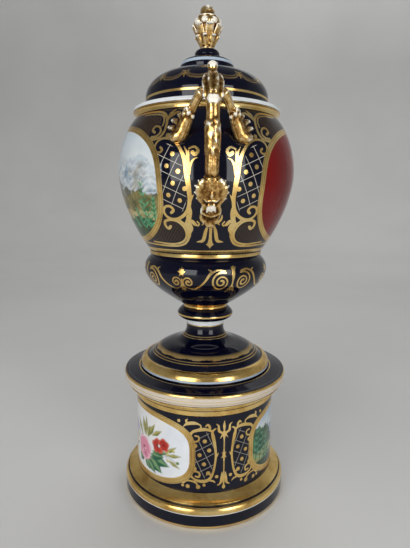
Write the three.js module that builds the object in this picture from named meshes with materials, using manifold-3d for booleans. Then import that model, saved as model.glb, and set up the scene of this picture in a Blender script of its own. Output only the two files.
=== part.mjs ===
// A covered porcelain vase with two rustic handles, standing on its own drum plinth.
// Millimetres, Z up. The origin is the centre of the plinth's underside.
// The handles stand on the Y axis, and the painted panels face along the X axis.
import * as THREE from 'three';
import { mergeVertices } from 'three/addons/utils/BufferGeometryUtils.js';
import Module from 'manifold-3d';

const wasm = await Module();
wasm.setup();

// Shared values
const SEAT_GAP = 0.3;        // air between two pieces that rest on each other
const BAND_BEVEL = 1;        // slope at the edge of a raised band

// Fineness of the facets
const ROUND_STEPS = 28;      // facets round every turned piece
const FINIAL_FACETS = 24;
const STEM_SIDES = 8;
const STEM_STEPS = 12;
const STRUT_SIDES = 6;
const STRUT_STEPS = 7;
const LUMP_SIDES = 6;
const LUMP_ROWS = 4;
const MOULDING_STEPS = 3;    // facets along each curve of the plinth, socle, lid and finial
const VASE_STEPS = 4;        // facets along each curve of the vase

// Plinth, from the ground up
const BASE_RADIUS = 82;          // widest band of the plinth's foot
const BASE_TOE_INSET = 2.6;      // how far the ground edge stands in from that band
const BASE_TOE_HEIGHT = 4;
const BASE_BAND_HEIGHT = 10.5;
const BASE_TORUS_HEIGHT = 6.5;
const BASE_TORUS_SHOULDER = 3.4; // how far the torus has turned in at its top
const BASE_FILLET_HEIGHT = 2;
const BASE_SLOPE_HEIGHT = 5.5;
const DRUM_RADIUS = 69.4;
const DRUM_HEIGHT = 74.5;
const CAP_BAND_PROUD = 1.2;      // the gilt band stands out from the drum by this
const CAP_BAND_HEIGHT = 5.2;
const CAP_COVE_HEIGHT = 5.8;
const CAP_LIP_RADIUS = 77.8;
const CAP_LIP_HEIGHT = 4.5;
const CAP_RIM_RADIUS = 81.1;
const CAP_RIM_HEIGHT = 6.5;
const CAP_ROUNDING = 2.3;        // rounded upper edge of the rim
const CAP_TOP_RISE = 2.6;        // the top plate rises by this towards the vase's foot
const CAP_SEAT_MARGIN = 2;       // level ring that shows round the socle
const PLINTH_WALL = 5;
const PLINTH_TOP_THICKNESS = 6;

// Socle, the vase's spreading foot
const SOCLE_RADIUS = 64.8;
const SOCLE_EDGE_HEIGHT = 3.2;   // upright pale edge
const SOCLE_TORUS_HEIGHT = 7;
const SOCLE_TORUS_DEPTH = 7.8;   // the gilt torus turns in by this
const SOCLE_SPREAD_RADIUS = 34;  // where the swelling slope turns into the cove
const SOCLE_SPREAD_RISE = 14.1;
const SOCLE_COVE_RISE = 13.4;
const SOCLE_COLLAR_RADIUS = 18.7;
const SOCLE_COLLAR_HEIGHT = 9.6;
const SOCLE_WALL = 5;

// Vase: knop, cup, waist, belly and lip
const KNOP_RADIUS = 27.8;
const KNOP_HEIGHT = 11.8;
const KNOP_SEAT_RADIUS = 24.4;
const STEM_RADIUS = 21.2;
const STEM_HEIGHT = 2.8;
const STEM_BORE_RADIUS = 12;     // hollow left under the stem by the casting
const CUP_RADIUS = 60.1;
const CUP_LOWER_HEIGHT = 37;
const CUP_UPPER_HEIGHT = 12.5;
const WAIST_RADIUS = 53.4;
const WAIST_RING_PROUD = 1.3;
const WAIST_RING_HEIGHT = 4.6;
const BELLY_FOOT_RADIUS = 57.4;
const BELLY_FOOT_HEIGHT = 4;
const BELLY_RADIUS = 83.3;
const BELLY_LOWER_HEIGHT = 68.2;
const BELLY_UPPER_HEIGHT = 49.5;
const NECK_RADIUS = 66;
const LIP_RADIUS = 68.7;
const LIP_HEIGHT = 8.3;
const MOUTH_RADIUS = 53.4;
const VASE_WALL = 4.6;
const VASE_FLOOR_THICKNESS = 6;

// Lid and finial
const LID_RADIUS = 57.3;
const LID_SIDE_HEIGHT = 10.3;    // nearly upright side of the lid
const LID_DOME_HEIGHT = 23.7;
const LID_WALL = 4;
const BEZEL_CLEARANCE = 0.8;     // between the bezel and the vase's mouth
const BEZEL_DEPTH = 8;
const TIER_RADIUS = 25.2;
const TIER_SIDE_HEIGHT = 4.6;
const TIER_SHOULDER_HEIGHT = 5.6;
const TIER_TOP_RADIUS = 20.4;
const TIER_TOP_HEIGHT = 4;
const COLLAR_RADIUS = 11.6;
const COLLAR_TOP_RADIUS = 7.4;
const COLLAR_HEIGHT = 6;
const FINIAL_NECK_RADIUS = 5.9;
const FINIAL_RADIUS = 12.9;
const FINIAL_HEIGHT = 39;        // from the collar to the tip of the bud
const FINIAL_URN_SHARE = 0.79;   // the leafy urn's share of that height, below the bud
const FINIAL_LEAVES = 8;
const FINIAL_LEAF_DEPTH = 1.5;

// Handles
const HANDLE_FOOT_RISE = 29;     // lower seat above the waist rings
const HANDLE_TOP_RISE = 8;       // crown of the handle above the lip
const HANDLE_REACH = 22.8;       // stem centre beyond the belly
const HANDLE_STEM_RADIUS = 6.7;
const HANDLE_STRUT_RADIUS = 4.4;
const HANDLE_SPREAD = 26;        // strut feet to each side of the stem
const HANDLE_FOOT_DROP = 34.6;   // strut feet below the lip

// Heights of the stages, each worked out from the one below
const drumBottom = BASE_TOE_HEIGHT + BASE_BAND_HEIGHT + BASE_TORUS_HEIGHT
  + BASE_FILLET_HEIGHT + BASE_SLOPE_HEIGHT;
const drumTop = drumBottom + DRUM_HEIGHT;
const capTop = drumTop + CAP_BAND_HEIGHT + CAP_COVE_HEIGHT + CAP_LIP_HEIGHT
  + CAP_RIM_HEIGHT + CAP_ROUNDING;
const plinthTop = capTop + CAP_TOP_RISE;
const socleBottom = plinthTop + SEAT_GAP;
const socleShoulder = socleBottom + SOCLE_EDGE_HEIGHT + SOCLE_TORUS_HEIGHT;
const socleNeck = socleShoulder + SOCLE_SPREAD_RISE + SOCLE_COVE_RISE;
const socleTop = socleNeck + SOCLE_COLLAR_HEIGHT;
const vaseBottom = socleTop + SEAT_GAP;
const stemTop = vaseBottom + KNOP_HEIGHT + STEM_HEIGHT;
const cupBelly = stemTop + CUP_LOWER_HEIGHT;
const waistBottom = cupBelly + CUP_UPPER_HEIGHT;
const bellyBottom = waistBottom + WAIST_RING_HEIGHT + BELLY_FOOT_HEIGHT;
const bellyMiddle = bellyBottom + BELLY_LOWER_HEIGHT;
const neckHeight = bellyMiddle + BELLY_UPPER_HEIGHT;
const lipTop = neckHeight + LIP_HEIGHT;
const lidBottom = lipTop + SEAT_GAP;
const tierBottom = lidBottom + LID_SIDE_HEIGHT + LID_DOME_HEIGHT;
const tierTop = tierBottom + TIER_SIDE_HEIGHT + TIER_SHOULDER_HEIGHT + TIER_TOP_HEIGHT;
const finialBottom = tierTop + COLLAR_HEIGHT;

// Finishes
const porcelain = (color, roughness, metalness) =>
  new THREE.MeshStandardMaterial({ color, roughness, metalness });
const cobaltGlaze = porcelain(0x0a0d2a, 0.12, 0);
const panelGlaze = porcelain(0x10163a, 0.12, 0);

// Geometry helpers
function turned(outline, steps = ROUND_STEPS) {
  const geometry = new THREE.LatheGeometry(outline, steps);
  geometry.rotateX(Math.PI / 2);
  return geometry;
}

function solidOf(geometry) {
  const bare = geometry.clone();
  bare.deleteAttribute('normal');
  bare.deleteAttribute('uv');
  const merged = mergeVertices(bare, 1e-4);
  const index = merged.index.array;
  const triangles = [];
  for (let i = 0; i < index.length; i += 3) {
    const [a, b, c] = [index[i], index[i + 1], index[i + 2]];
    if (a !== b && b !== c && c !== a) triangles.push(a, b, c);
  }
  return new wasm.Manifold(new wasm.Mesh({
    numProp: 3,
    vertProperties: new Float32Array(merged.attributes.position.array),
    triVerts: new Uint32Array(triangles),
  }));
}

function geometryOf(solid) {
  const mesh = solid.getMesh();
  const geometry = new THREE.BufferGeometry();
  geometry.setAttribute('position', new THREE.BufferAttribute(mesh.vertProperties, 3));
  geometry.setIndex(new THREE.BufferAttribute(mesh.triVerts, 1));
  geometry.computeVertexNormals();
  return geometry;
}

// A closed limb along a curve. halfWidth and halfDepth are functions of the share of its length,
// and across is the direction that the width is measured in.
function limb(curve, halfWidth, halfDepth, across, sides, steps) {
  const geometry = new THREE.CylinderGeometry(1, 1, 1, sides, steps);
  const position = geometry.attributes.position;
  for (let i = 0; i < position.count; i += 1) {
    const share = Math.round((position.getY(i) + 0.5) * steps) / steps;
    const centre = curve.getPointAt(share);
    const along = curve.getTangentAt(share);
    const outward = new THREE.Vector3().crossVectors(across, along).normalize();
    const side = new THREE.Vector3().crossVectors(along, outward).normalize();
    centre.addScaledVector(side, position.getX(i) * halfWidth(share));
    centre.addScaledVector(outward, position.getZ(i) * halfDepth(share));
    position.setXYZ(i, centre.x, centre.y, centre.z);
  }
  return geometry;
}

// An egg-shaped lump: half sizes across, along and through, with its long axis in a direction.
function lump(centre, halfSizes, direction) {
  const geometry = new THREE.SphereGeometry(1, LUMP_SIDES, LUMP_ROWS);
  geometry.scale(halfSizes.x, halfSizes.y, halfSizes.z);
  const turn = new THREE.Quaternion().setFromUnitVectors(
    new THREE.Vector3(0, 1, 0), direction.clone().normalize());
  geometry.applyQuaternion(turn);
  geometry.translate(centre.x, centre.y, centre.z);
  return geometry;
}

// A point of the front handle: its distance from the vase's axis, its offset to the side
// and its height.
const handlePoint = (out, side, up) => new THREE.Vector3(side, -out, up);

// A point between two corners of an outline, as shares of their difference in radius and height.
const between = (from, to, radiusShare, heightShare) => [
  from[0] + (to[0] - from[0]) * radiusShare,
  from[1] + (to[1] - from[1]) * heightShare,
];

// Outlines, as points of radius and height
function plinthOutline() {
  const torusBottom = BASE_TOE_HEIGHT + BASE_BAND_HEIGHT;
  const torusTop = torusBottom + BASE_TORUS_HEIGHT;
  const torusTopRadius = BASE_RADIUS - BASE_TORUS_SHOULDER;
  const slopeFoot = [torusTopRadius, torusTop + BASE_FILLET_HEIGHT];
  const slopeTop = [DRUM_RADIUS, drumBottom];
  const coveBottom = drumTop + CAP_BAND_HEIGHT;
  const lipBottom = coveBottom + CAP_COVE_HEIGHT;
  const rimBottom = lipBottom + CAP_LIP_HEIGHT;
  const bandRadius = DRUM_RADIUS + CAP_BAND_PROUD;
  const boreRadius = DRUM_RADIUS - PLINTH_WALL;
  const toeRadius = BASE_RADIUS - BASE_TOE_INSET;
  const boreTop = capTop - PLINTH_TOP_THICKNESS;
  const path = new THREE.Path();
  path.moveTo(0, boreTop);
  path.lineTo(boreRadius, boreTop);
  path.lineTo(boreRadius, drumBottom - PLINTH_WALL);
  path.lineTo(toeRadius - PLINTH_WALL, torusBottom - PLINTH_WALL);
  path.lineTo(toeRadius - PLINTH_WALL, 0);
  path.lineTo(toeRadius, 0);
  path.lineTo(BASE_RADIUS, BASE_TOE_HEIGHT);
  path.lineTo(BASE_RADIUS, torusBottom);
  path.quadraticCurveTo(BASE_RADIUS, torusTop, torusTopRadius, torusTop);
  path.lineTo(...slopeFoot);
  path.quadraticCurveTo(...between(slopeFoot, slopeTop, 0.5, 0.2), ...slopeTop);
  path.lineTo(DRUM_RADIUS, drumTop);
  path.lineTo(bandRadius, drumTop + BAND_BEVEL);
  path.lineTo(bandRadius, coveBottom - BAND_BEVEL);
  path.quadraticCurveTo(bandRadius, lipBottom, CAP_LIP_RADIUS, lipBottom);
  path.lineTo(CAP_LIP_RADIUS, rimBottom);
  path.lineTo(CAP_RIM_RADIUS, rimBottom + BAND_BEVEL);
  path.lineTo(CAP_RIM_RADIUS, capTop - CAP_ROUNDING);
  path.lineTo(CAP_RIM_RADIUS - CAP_ROUNDING, capTop);
  path.lineTo(SOCLE_RADIUS + CAP_SEAT_MARGIN, plinthTop);
  path.lineTo(0, plinthTop);
  return path.getPoints(MOULDING_STEPS);
}

function socleOutline() {
  const torusBottom = [SOCLE_RADIUS, socleBottom + SOCLE_EDGE_HEIGHT];
  const torusTop = [SOCLE_RADIUS - SOCLE_TORUS_DEPTH, socleShoulder];
  const spreadTop = [SOCLE_SPREAD_RADIUS, socleShoulder + SOCLE_SPREAD_RISE];
  const neck = [SOCLE_COLLAR_RADIUS, socleNeck];
  const boreRadius = SOCLE_COLLAR_RADIUS - SOCLE_WALL;
  const path = new THREE.Path();
  path.moveTo(0, socleTop - SOCLE_WALL);
  path.lineTo(boreRadius, socleTop - SOCLE_WALL);
  path.lineTo(boreRadius, spreadTop[1] - SOCLE_WALL / 2);
  path.lineTo(spreadTop[0], spreadTop[1] - SOCLE_WALL);
  path.lineTo(torusTop[0] - SOCLE_WALL, torusTop[1] - SOCLE_WALL / 2);
  path.lineTo(SOCLE_RADIUS - SOCLE_WALL, socleBottom);
  path.lineTo(SOCLE_RADIUS, socleBottom);
  path.lineTo(...torusBottom);
  path.quadraticCurveTo(...between(torusBottom, torusTop, 0.13, 1), ...torusTop);
  path.quadraticCurveTo(...between(torusTop, spreadTop, 0.44, 0.75), ...spreadTop);
  path.quadraticCurveTo(...between(spreadTop, neck, 0.95, 0.22), ...neck);
  path.lineTo(SOCLE_COLLAR_RADIUS, socleTop);
  path.lineTo(0, socleTop);
  return path.getPoints(MOULDING_STEPS);
}

// The outside of the vase, from its seat on the socle up to the outer edge of the lip.
function vaseSkin() {
  const knopTop = [STEM_RADIUS + BAND_BEVEL, vaseBottom + KNOP_HEIGHT];
  const knopControl = 2 * KNOP_RADIUS - (KNOP_SEAT_RADIUS + knopTop[0]) / 2;
  const cupFoot = [STEM_RADIUS, stemTop - BAND_BEVEL];
  const cupWidest = [CUP_RADIUS, cupBelly];
  const cupTop = [WAIST_RADIUS, waistBottom];
  const ringRadius = WAIST_RADIUS + WAIST_RING_PROUD;
  const bellyFoot = [BELLY_FOOT_RADIUS, bellyBottom];
  const bellyWidest = [BELLY_RADIUS, bellyMiddle];
  const neck = [NECK_RADIUS, neckHeight];
  const lip = [LIP_RADIUS, neckHeight + LIP_HEIGHT / 2];
  const path = new THREE.Path();
  path.moveTo(KNOP_SEAT_RADIUS, vaseBottom);
  path.quadraticCurveTo(knopControl, vaseBottom + KNOP_HEIGHT * 0.4, ...knopTop);
  path.lineTo(STEM_RADIUS, knopTop[1]);
  path.lineTo(...cupFoot);
  path.bezierCurveTo(...between(cupFoot, cupWidest, 0.54, 0.34),
    ...between(cupFoot, cupWidest, 1, 0.63), ...cupWidest);
  path.quadraticCurveTo(...between(cupWidest, cupTop, 0, 0.56), ...cupTop);
  path.lineTo(ringRadius, waistBottom + BAND_BEVEL);
  path.lineTo(ringRadius, waistBottom + WAIST_RING_HEIGHT);
  path.lineTo(...bellyFoot);
  path.bezierCurveTo(...between(bellyFoot, bellyWidest, 0.46, 0.24),
    ...between(bellyFoot, bellyWidest, 1, 0.66), ...bellyWidest);
  path.bezierCurveTo(...between(bellyWidest, neck, 0, 0.39),
    ...between(bellyWidest, neck, 0.42, 0.79), ...neck);
  path.quadraticCurveTo(...between(neck, lip, 0, 1), ...lip);
  return path.getPoints(VASE_STEPS);
}

// The radius of an outline at a height, between its neighbouring points.
function radiusAt(outline, height) {
  for (let i = 1; i < outline.length; i += 1) {
    const [low, high] = [outline[i - 1], outline[i]];
    if (low.y <= height && height <= high.y && high.y > low.y) {
      return low.x + (high.x - low.x) * (height - low.y) / (high.y - low.y);
    }
  }
  return outline[outline.length - 1].x;
}

// The point that lies one wall inside the outline, at about a height.
function wallInside(outline, height) {
  const slope = (radiusAt(outline, height + 1) - radiusAt(outline, height - 1)) / 2;
  const normal = new THREE.Vector2(1, -slope).normalize();
  return new THREE.Vector2(radiusAt(outline, height), height).addScaledVector(normal, -VASE_WALL);
}

// The inside of the belly, from under the neck down to the waist.
function bellyInside(skin) {
  return [
    wallInside(skin, neckHeight - VASE_WALL),
    wallInside(skin, bellyMiddle + BELLY_UPPER_HEIGHT / 2),
    wallInside(skin, bellyMiddle),
    wallInside(skin, bellyMiddle - BELLY_LOWER_HEIGHT / 3),
    wallInside(skin, bellyMiddle - BELLY_LOWER_HEIGHT * 2 / 3),
    wallInside(skin, bellyBottom + VASE_WALL / 2),
  ];
}

function vaseOutline() {
  const skin = vaseSkin();
  const lipRounding = LIP_HEIGHT / 4;
  const boreTop = vaseBottom + KNOP_HEIGHT;
  const floor = stemTop + VASE_FLOOR_THICKNESS;
  return [
    new THREE.Vector2(0, boreTop),
    new THREE.Vector2(STEM_BORE_RADIUS, boreTop),
    new THREE.Vector2(STEM_BORE_RADIUS, vaseBottom),
    ...skin,
    new THREE.Vector2(LIP_RADIUS, lipTop - lipRounding),
    new THREE.Vector2(LIP_RADIUS - lipRounding, lipTop),
    new THREE.Vector2(MOUTH_RADIUS, lipTop),
    new THREE.Vector2(MOUTH_RADIUS, neckHeight + BAND_BEVEL),
    ...bellyInside(skin),
    new THREE.Vector2(WAIST_RADIUS - VASE_WALL, waistBottom),
    wallInside(skin, cupBelly),
    wallInside(skin, cupBelly - CUP_LOWER_HEIGHT / 3),
    wallInside(skin, cupBelly - CUP_LOWER_HEIGHT * 2 / 3),
    new THREE.Vector2(STEM_RADIUS - VASE_WALL, floor),
    new THREE.Vector2(0, floor),
  ];
}

function lidOutline() {
  const bezelRadius = MOUTH_RADIUS - BEZEL_CLEARANCE;
  const bezelBore = bezelRadius - LID_WALL;
  const bezelBottom = lidBottom - BEZEL_DEPTH;
  const sideTop = [LID_RADIUS, lidBottom + LID_SIDE_HEIGHT];
  const tierFoot = [TIER_RADIUS, tierBottom];
  const tierSide = [TIER_RADIUS, tierBottom + TIER_SIDE_HEIGHT];
  const tierShoulder = [TIER_TOP_RADIUS, tierSide[1] + TIER_SHOULDER_HEIGHT];
  const domeInside = [TIER_RADIUS - LID_WALL, tierBottom - LID_WALL];
  const bezelInside = [bezelBore, sideTop[1] - LID_WALL];
  const path = new THREE.Path();
  path.moveTo(0, tierSide[1]);
  path.lineTo(TIER_RADIUS - LID_WALL * 2, tierSide[1]);
  path.lineTo(...domeInside);
  path.quadraticCurveTo(...between(domeInside, bezelInside, 0.85, 0.2), ...bezelInside);
  path.lineTo(bezelBore, bezelBottom);
  path.lineTo(bezelRadius, bezelBottom);
  path.lineTo(bezelRadius, lidBottom);
  path.lineTo(LID_RADIUS, lidBottom);
  path.lineTo(...sideTop);
  path.bezierCurveTo(...between(sideTop, tierFoot, 0.02, 0.51),
    ...between(sideTop, tierFoot, 0.41, 0.92), ...tierFoot);
  path.lineTo(...tierSide);
  path.quadraticCurveTo(...between(tierSide, tierShoulder, 0.17, 0.82), ...tierShoulder);
  path.lineTo(COLLAR_RADIUS, tierTop);
  path.lineTo(COLLAR_TOP_RADIUS, finialBottom);
  path.lineTo(0, finialBottom);
  return path.getPoints(MOULDING_STEPS);
}

// The finial: a bud on a swelling urn that upright leaves wrap. Its heights are shares of its own.
function finialSolid() {
  const at = (radius, share) => [radius, finialBottom + FINIAL_HEIGHT * share];
  const rooted = at(FINIAL_NECK_RADIUS, -0.03);
  const neck = at(FINIAL_NECK_RADIUS, 0.08);
  const widest = at(FINIAL_RADIUS, 0.52);
  const budFoot = at(FINIAL_RADIUS * 0.5, FINIAL_URN_SHARE);
  const budTip = at(FINIAL_RADIUS * 0.22, 0.99);
  const path = new THREE.Path();
  path.moveTo(0, rooted[1]);
  path.lineTo(...rooted);
  path.lineTo(...neck);
  path.bezierCurveTo(...between(neck, widest, 0.46, 0.12),
    ...between(neck, widest, 1, 0.41), ...widest);
  path.bezierCurveTo(...between(widest, budFoot, 0, 0.52),
    ...between(widest, budFoot, 0.4, 0.81), ...budFoot);
  path.quadraticCurveTo(...between(budFoot, budTip, -0.2, 0.7), ...budTip);
  path.lineTo(...at(0, 1));
  const geometry = turned(path.getPoints(MOULDING_STEPS), FINIAL_FACETS);
  const position = geometry.attributes.position;
  for (let i = 0; i < position.count; i += 1) {
    const [x, y, z] = [position.getX(i), position.getY(i), position.getZ(i)];
    const radius = Math.hypot(x, y);
    const share = THREE.MathUtils.clamp((z - finialBottom) / FINIAL_HEIGHT, 0, FINIAL_URN_SHARE);
    const swell = Math.sin(Math.PI * share / FINIAL_URN_SHARE);
    const ridge = Math.cos(FINIAL_LEAVES * Math.atan2(x, y));
    const grown = radius > 0 ? 1 + FINIAL_LEAF_DEPTH * swell * ridge / 2 / radius : 1;
    position.setXY(i, x * grown, y * grown);
  }
  return solidOf(geometry);
}

// The front handle, all of it growing together: a twig-like stem rising from a leafy cup low on
// the belly, two struts spreading back to the shoulder, and a bud on the crown. Its carving is
// measured in shares of the stem's radius.
function handleSolid(skin) {
  const footHeight = waistBottom + WAIST_RING_HEIGHT + HANDLE_FOOT_RISE;
  const crownHeight = lipTop + HANDLE_TOP_RISE;
  const seatRadius = radiusAt(skin, footHeight) - VASE_WALL / 2;
  const reachRadius = BELLY_RADIUS + HANDLE_REACH;
  const place = (reachShare, heightShare, side = 0) => handlePoint(
    seatRadius + (reachRadius - seatRadius) * reachShare,
    side * HANDLE_STEM_RADIUS,
    footHeight + (crownHeight - footHeight) * heightShare);
  const shift = (x, y, z) => new THREE.Vector3(x, y, z).multiplyScalar(HANDLE_STEM_RADIUS);
  const bump = (share, middle, spread) => Math.exp(-(((share - middle) / spread) ** 2));
  const across = new THREE.Vector3(1, 0, 0);
  const upward = new THREE.Vector3(0, 0, 1);

  const stemRoute = new THREE.CatmullRomCurve3([
    place(0, 0), place(0.34, 0.1), place(0.56, 0.2), place(0.74, 0.31), place(0.9, 0.48),
    place(1, 0.67), place(0.96, 0.83), place(0.78, 0.94), place(0.5, 1),
  ]);
  const stemSwell = (share) => HANDLE_STEM_RADIUS * (1 + 0.35 * bump(share, 0.14, 0.08));
  const pieces = [
    limb(stemRoute, stemSwell, (share) => stemSwell(share) * 0.9, across, STEM_SIDES, STEM_STEPS),
    lump(place(0.56, 1.02), shift(0.57, 1.34, 0.57), upward),
    lump(place(0.54, 1.09), shift(0.66, 0.6, 0.66), upward),
    lump(place(0.74, 0.31), shift(1.28, 0.39, 1.22), stemRoute.getTangentAt(0.35)),
    lump(place(0.72, 0.2), shift(0.69, 1.5, 0.51), stemRoute.getTangentAt(0.2)),
    lump(place(0.16, 0), shift(0.96, 1.12, 0.81), upward),
  ];

  for (const side of [-1, 1]) {
    pieces.push(lump(place(0.5, 0.21, side * 1.25), shift(0.51, 1.57, 0.81),
      new THREE.Vector3(side * 0.35, -0.35, 1)));

    const strutFoot = lipTop - HANDLE_FOOT_DROP;
    const shoulderOut = Math.sqrt(radiusAt(skin, strutFoot) ** 2 - HANDLE_SPREAD ** 2);
    const top = place(0.78, 0.93, side * 0.3);
    const foot = handlePoint(shoulderOut, side * HANDLE_SPREAD, strutFoot);
    const along = (share, offset) => top.clone().lerp(foot, share).add(offset);
    const strutRoute = new THREE.CatmullRomCurve3([
      top,
      along(0.24, shift(0, 0.22, 0.22)),
      along(0.5, shift(0, -0.3, 0.37)),
      along(0.8, shift(side * 0.3, -0.37, 0.15)),
      foot,
    ]);
    const strutSwell = (share) => HANDLE_STRUT_RADIUS * (1 + 0.9 * bump(share, 0.86, 0.14));
    const innerBud = strutRoute.getPointAt(0.55).add(shift(-side * 0.54, 0.07, -0.66));
    const outerBud = strutRoute.getPointAt(0.78).add(shift(side * 0.84, 0.22, 0.3));
    pieces.push(
      limb(strutRoute, strutSwell, (share) => strutSwell(share) * 0.85, across,
        STRUT_SIDES, STRUT_STEPS),
      lump(innerBud, shift(0.45, 0.82, 0.45), new THREE.Vector3(-side * 0.3, 0, -1)),
      lump(outerBud, shift(0.45, 0.82, 0.45), new THREE.Vector3(side, 0, -0.4)),
      lump(strutRoute.getPointAt(0.2), shift(0.81, 0.45, 0.81), strutRoute.getTangentAt(0.2)));
  }
  return pieces.map(solidOf).reduce((whole, lumpSolid) => whole.add(lumpSolid));
}

function plinthGeometry() {
  return geometryOf(solidOf(turned(plinthOutline())));
}

function socleGeometry() {
  return geometryOf(solidOf(turned(socleOutline())));
}

function vaseGeometry() {
  const skin = vaseSkin();
  const shell = solidOf(turned(vaseOutline()));
  const inside = bellyInside(skin).reverse();
  const hollow = turned([
    new THREE.Vector2(0, inside[0].y),
    ...inside,
    new THREE.Vector2(0, inside[inside.length - 1].y),
  ]);
  const handle = handleSolid(skin).subtract(solidOf(hollow));
  return geometryOf(shell.add(handle).add(handle.rotate([0, 0, 180])));
}

function lidGeometry() {
  return geometryOf(solidOf(turned(lidOutline())).add(finialSolid()));
}

function piece(name, geometry, material) {
  const mesh = new THREE.Mesh(geometry, material);
  mesh.name = name;
  return mesh;
}

const vase = new THREE.Group();
vase.add(piece('plinth', plinthGeometry(), panelGlaze));
vase.add(piece('socle', socleGeometry(), cobaltGlaze));
vase.add(piece('vase_body', vaseGeometry(), cobaltGlaze));
vase.add(piece('lid', lidGeometry(), cobaltGlaze));

export default vase;
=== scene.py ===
"""A covered porcelain vase in cobalt and gold, with two rustic handles, on its own drum plinth."""

import math

import bpy
import numpy as np
from mathutils import Matrix, Quaternion, Vector


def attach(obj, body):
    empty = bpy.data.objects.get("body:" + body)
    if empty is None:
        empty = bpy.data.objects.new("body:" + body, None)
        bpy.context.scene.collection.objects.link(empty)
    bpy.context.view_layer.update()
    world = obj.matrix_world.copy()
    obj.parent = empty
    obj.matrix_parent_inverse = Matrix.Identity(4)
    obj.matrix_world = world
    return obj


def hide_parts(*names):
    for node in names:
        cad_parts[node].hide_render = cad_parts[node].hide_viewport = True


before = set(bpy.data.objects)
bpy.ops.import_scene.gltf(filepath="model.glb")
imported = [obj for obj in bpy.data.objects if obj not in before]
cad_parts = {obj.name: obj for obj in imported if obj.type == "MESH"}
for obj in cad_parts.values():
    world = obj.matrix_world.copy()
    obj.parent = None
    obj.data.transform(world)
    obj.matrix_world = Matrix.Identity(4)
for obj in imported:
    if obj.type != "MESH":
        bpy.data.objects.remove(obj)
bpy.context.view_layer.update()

MM = 0.001

# Turned surfaces: the step of a traced outline in mm, how many of its points are averaged to
# round a corner, the bend between two rows, and how near a row may come to a marked one in mm
FINE_STEP = 0.1
ROUNDING_WINDOW = 7
ROW_BEND = math.radians(13)
MARK_GAP = 0.12

# Painted ornament, in mm: how far outside a stroke its depth is known, the depth far outside,
# the length of a dot's stroke, a hair line's half width and soft edge, how far a trellis's dots
# stay inside it, and the bare ground between gilding and hatching
PATTERN_MARGIN = 1.6
FAR_OUTSIDE = -9.0
DOT_LENGTH = 0.01
HAIR_HALF = 0.1
HAIR_SOFT = 0.75
DOT_MARGIN = 0.6
HATCH_GAP = 0.55
HATCH_DARK = (0.004, 0.0025, 0.006)
HATCH_LIGHT = (0.052, 0.031, 0.017)

# Brown lines in a gilt frame: each one's depth in mm and strength, and their soft edge in mm
FRAME_LINES = ((1.1, 0.55), (3.6, 0.4))
FRAME_LINE_SOFT = 0.7

# A trellis's coordinates start here, so that all are above zero, and its cells are counted to
# so many on each side of the first
WEAVE_START = 40.5
TRELLIS_REACH = 8

# How often the lid's swags and the socle's petals repeat
SWAGS = 14
PETALS = 16

# How far each ornament is turned from the handles' plane, in degrees
PAINT_TURN = 0.9
PLINTH_TURN = 12.7
CUP_TURN = 21.9
LID_TURN = 2.9

# The camera, found from eleven of the object's rings in a frame 548 pixels high
CAMERA_TURN = math.radians(-2.5)
CAMERA_DISTANCE = 443.8
CAMERA_HEIGHT = 291.4
CAMERA_PITCH = math.radians(9.03)
CAMERA_YAW = -0.001
CAMERA_ROLL = math.radians(0.45)
FOCAL_PIXELS = 448.5
FRAME_HEIGHT = 548

# The height in metres that the lights are turned to
LIGHT_AIM = 0.28

# The same sizes as the CAD source, in millimetres
BASE_RADIUS = 82
DRUM_RADIUS = 69.4
DRUM_BOTTOM = 28.5
DRUM_TOP = 103
CAP_LIP_RADIUS = 77.8
CAP_RIM_RADIUS = 81.1
PLINTH_TOP = 129.9
SOCLE_BOTTOM = 130.2
SOCLE_TOP = 177.5
VASE_BOTTOM = 177.8
CUP_BELLY = 229.4
WAIST = 241.9
BELLY_BOTTOM = 250.5
BELLY_MIDDLE = 318.7
BELLY_RADIUS = 83.3
NECK = 368.2
LIP_TOP = 376.5
LID_BOTTOM = 376.8
TIER_BOTTOM = 410.8
TIER_TOP = 425
FINIAL_BOTTOM = 431
TOP = 470
MOUTH_RADIUS = 53.4


# Outlines and turned surfaces


def bezier(points, steps=60):
    share = np.linspace(0, 1, steps + 1)[:, None]
    layers = [np.array(p, float) + 0 * share for p in points]
    while len(layers) > 1:
        layers = [a * (1 - share) + b * share for a, b in zip(layers, layers[1:])]
    return layers[0]


def between(start, end, radius_share, height_share):
    return (
        start[0] + (end[0] - start[0]) * radius_share,
        start[1] + (end[1] - start[1]) * height_share,
    )


def soften(points, closed):
    """Rounds the corners of a closely spaced outline a little, as glaze does."""
    half = ROUNDING_WINDOW // 2
    for _ in range(2):
        if closed:
            padded = np.vstack([points[-half - 1 : -1], points, points[1 : half + 1]])
        else:
            first = 2 * points[0] - points[half:0:-1]
            last = 2 * points[-1] - points[-2 : -half - 2 : -1]
            padded = np.vstack([first, points, last])
        window = np.ones(ROUNDING_WINDOW) / ROUNDING_WINDOW
        points = np.stack([np.convolve(padded[:, k], window, "valid") for k in (0, 1)], -1)
    return points


def trace(start, *moves):
    """An outline as columns of length, radius and height in mm. A move is a point to go straight
    to, or the points of a curve."""
    runs = [np.array([start], float)]
    here = start
    for move in moves:
        curve = [here, move] if np.ndim(move) == 1 else [here, *move]
        runs.append(bezier(curve)[1:])
        here = curve[-1]
    points = np.vstack(runs)
    length = np.r_[0, np.cumsum(np.hypot(*np.diff(points, axis=0).T))]
    count = int(length[-1] / FINE_STEP)
    even = np.linspace(0, length[-1], count + 1)
    points = np.stack([np.interp(even, length, points[:, k]) for k in (0, 1)], -1)
    closed = math.dist(start, here) < 1e-6
    points = soften(points, closed)
    length = np.r_[0, np.cumsum(np.hypot(*np.diff(points, axis=0).T))]
    return np.column_stack([length, points])


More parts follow.
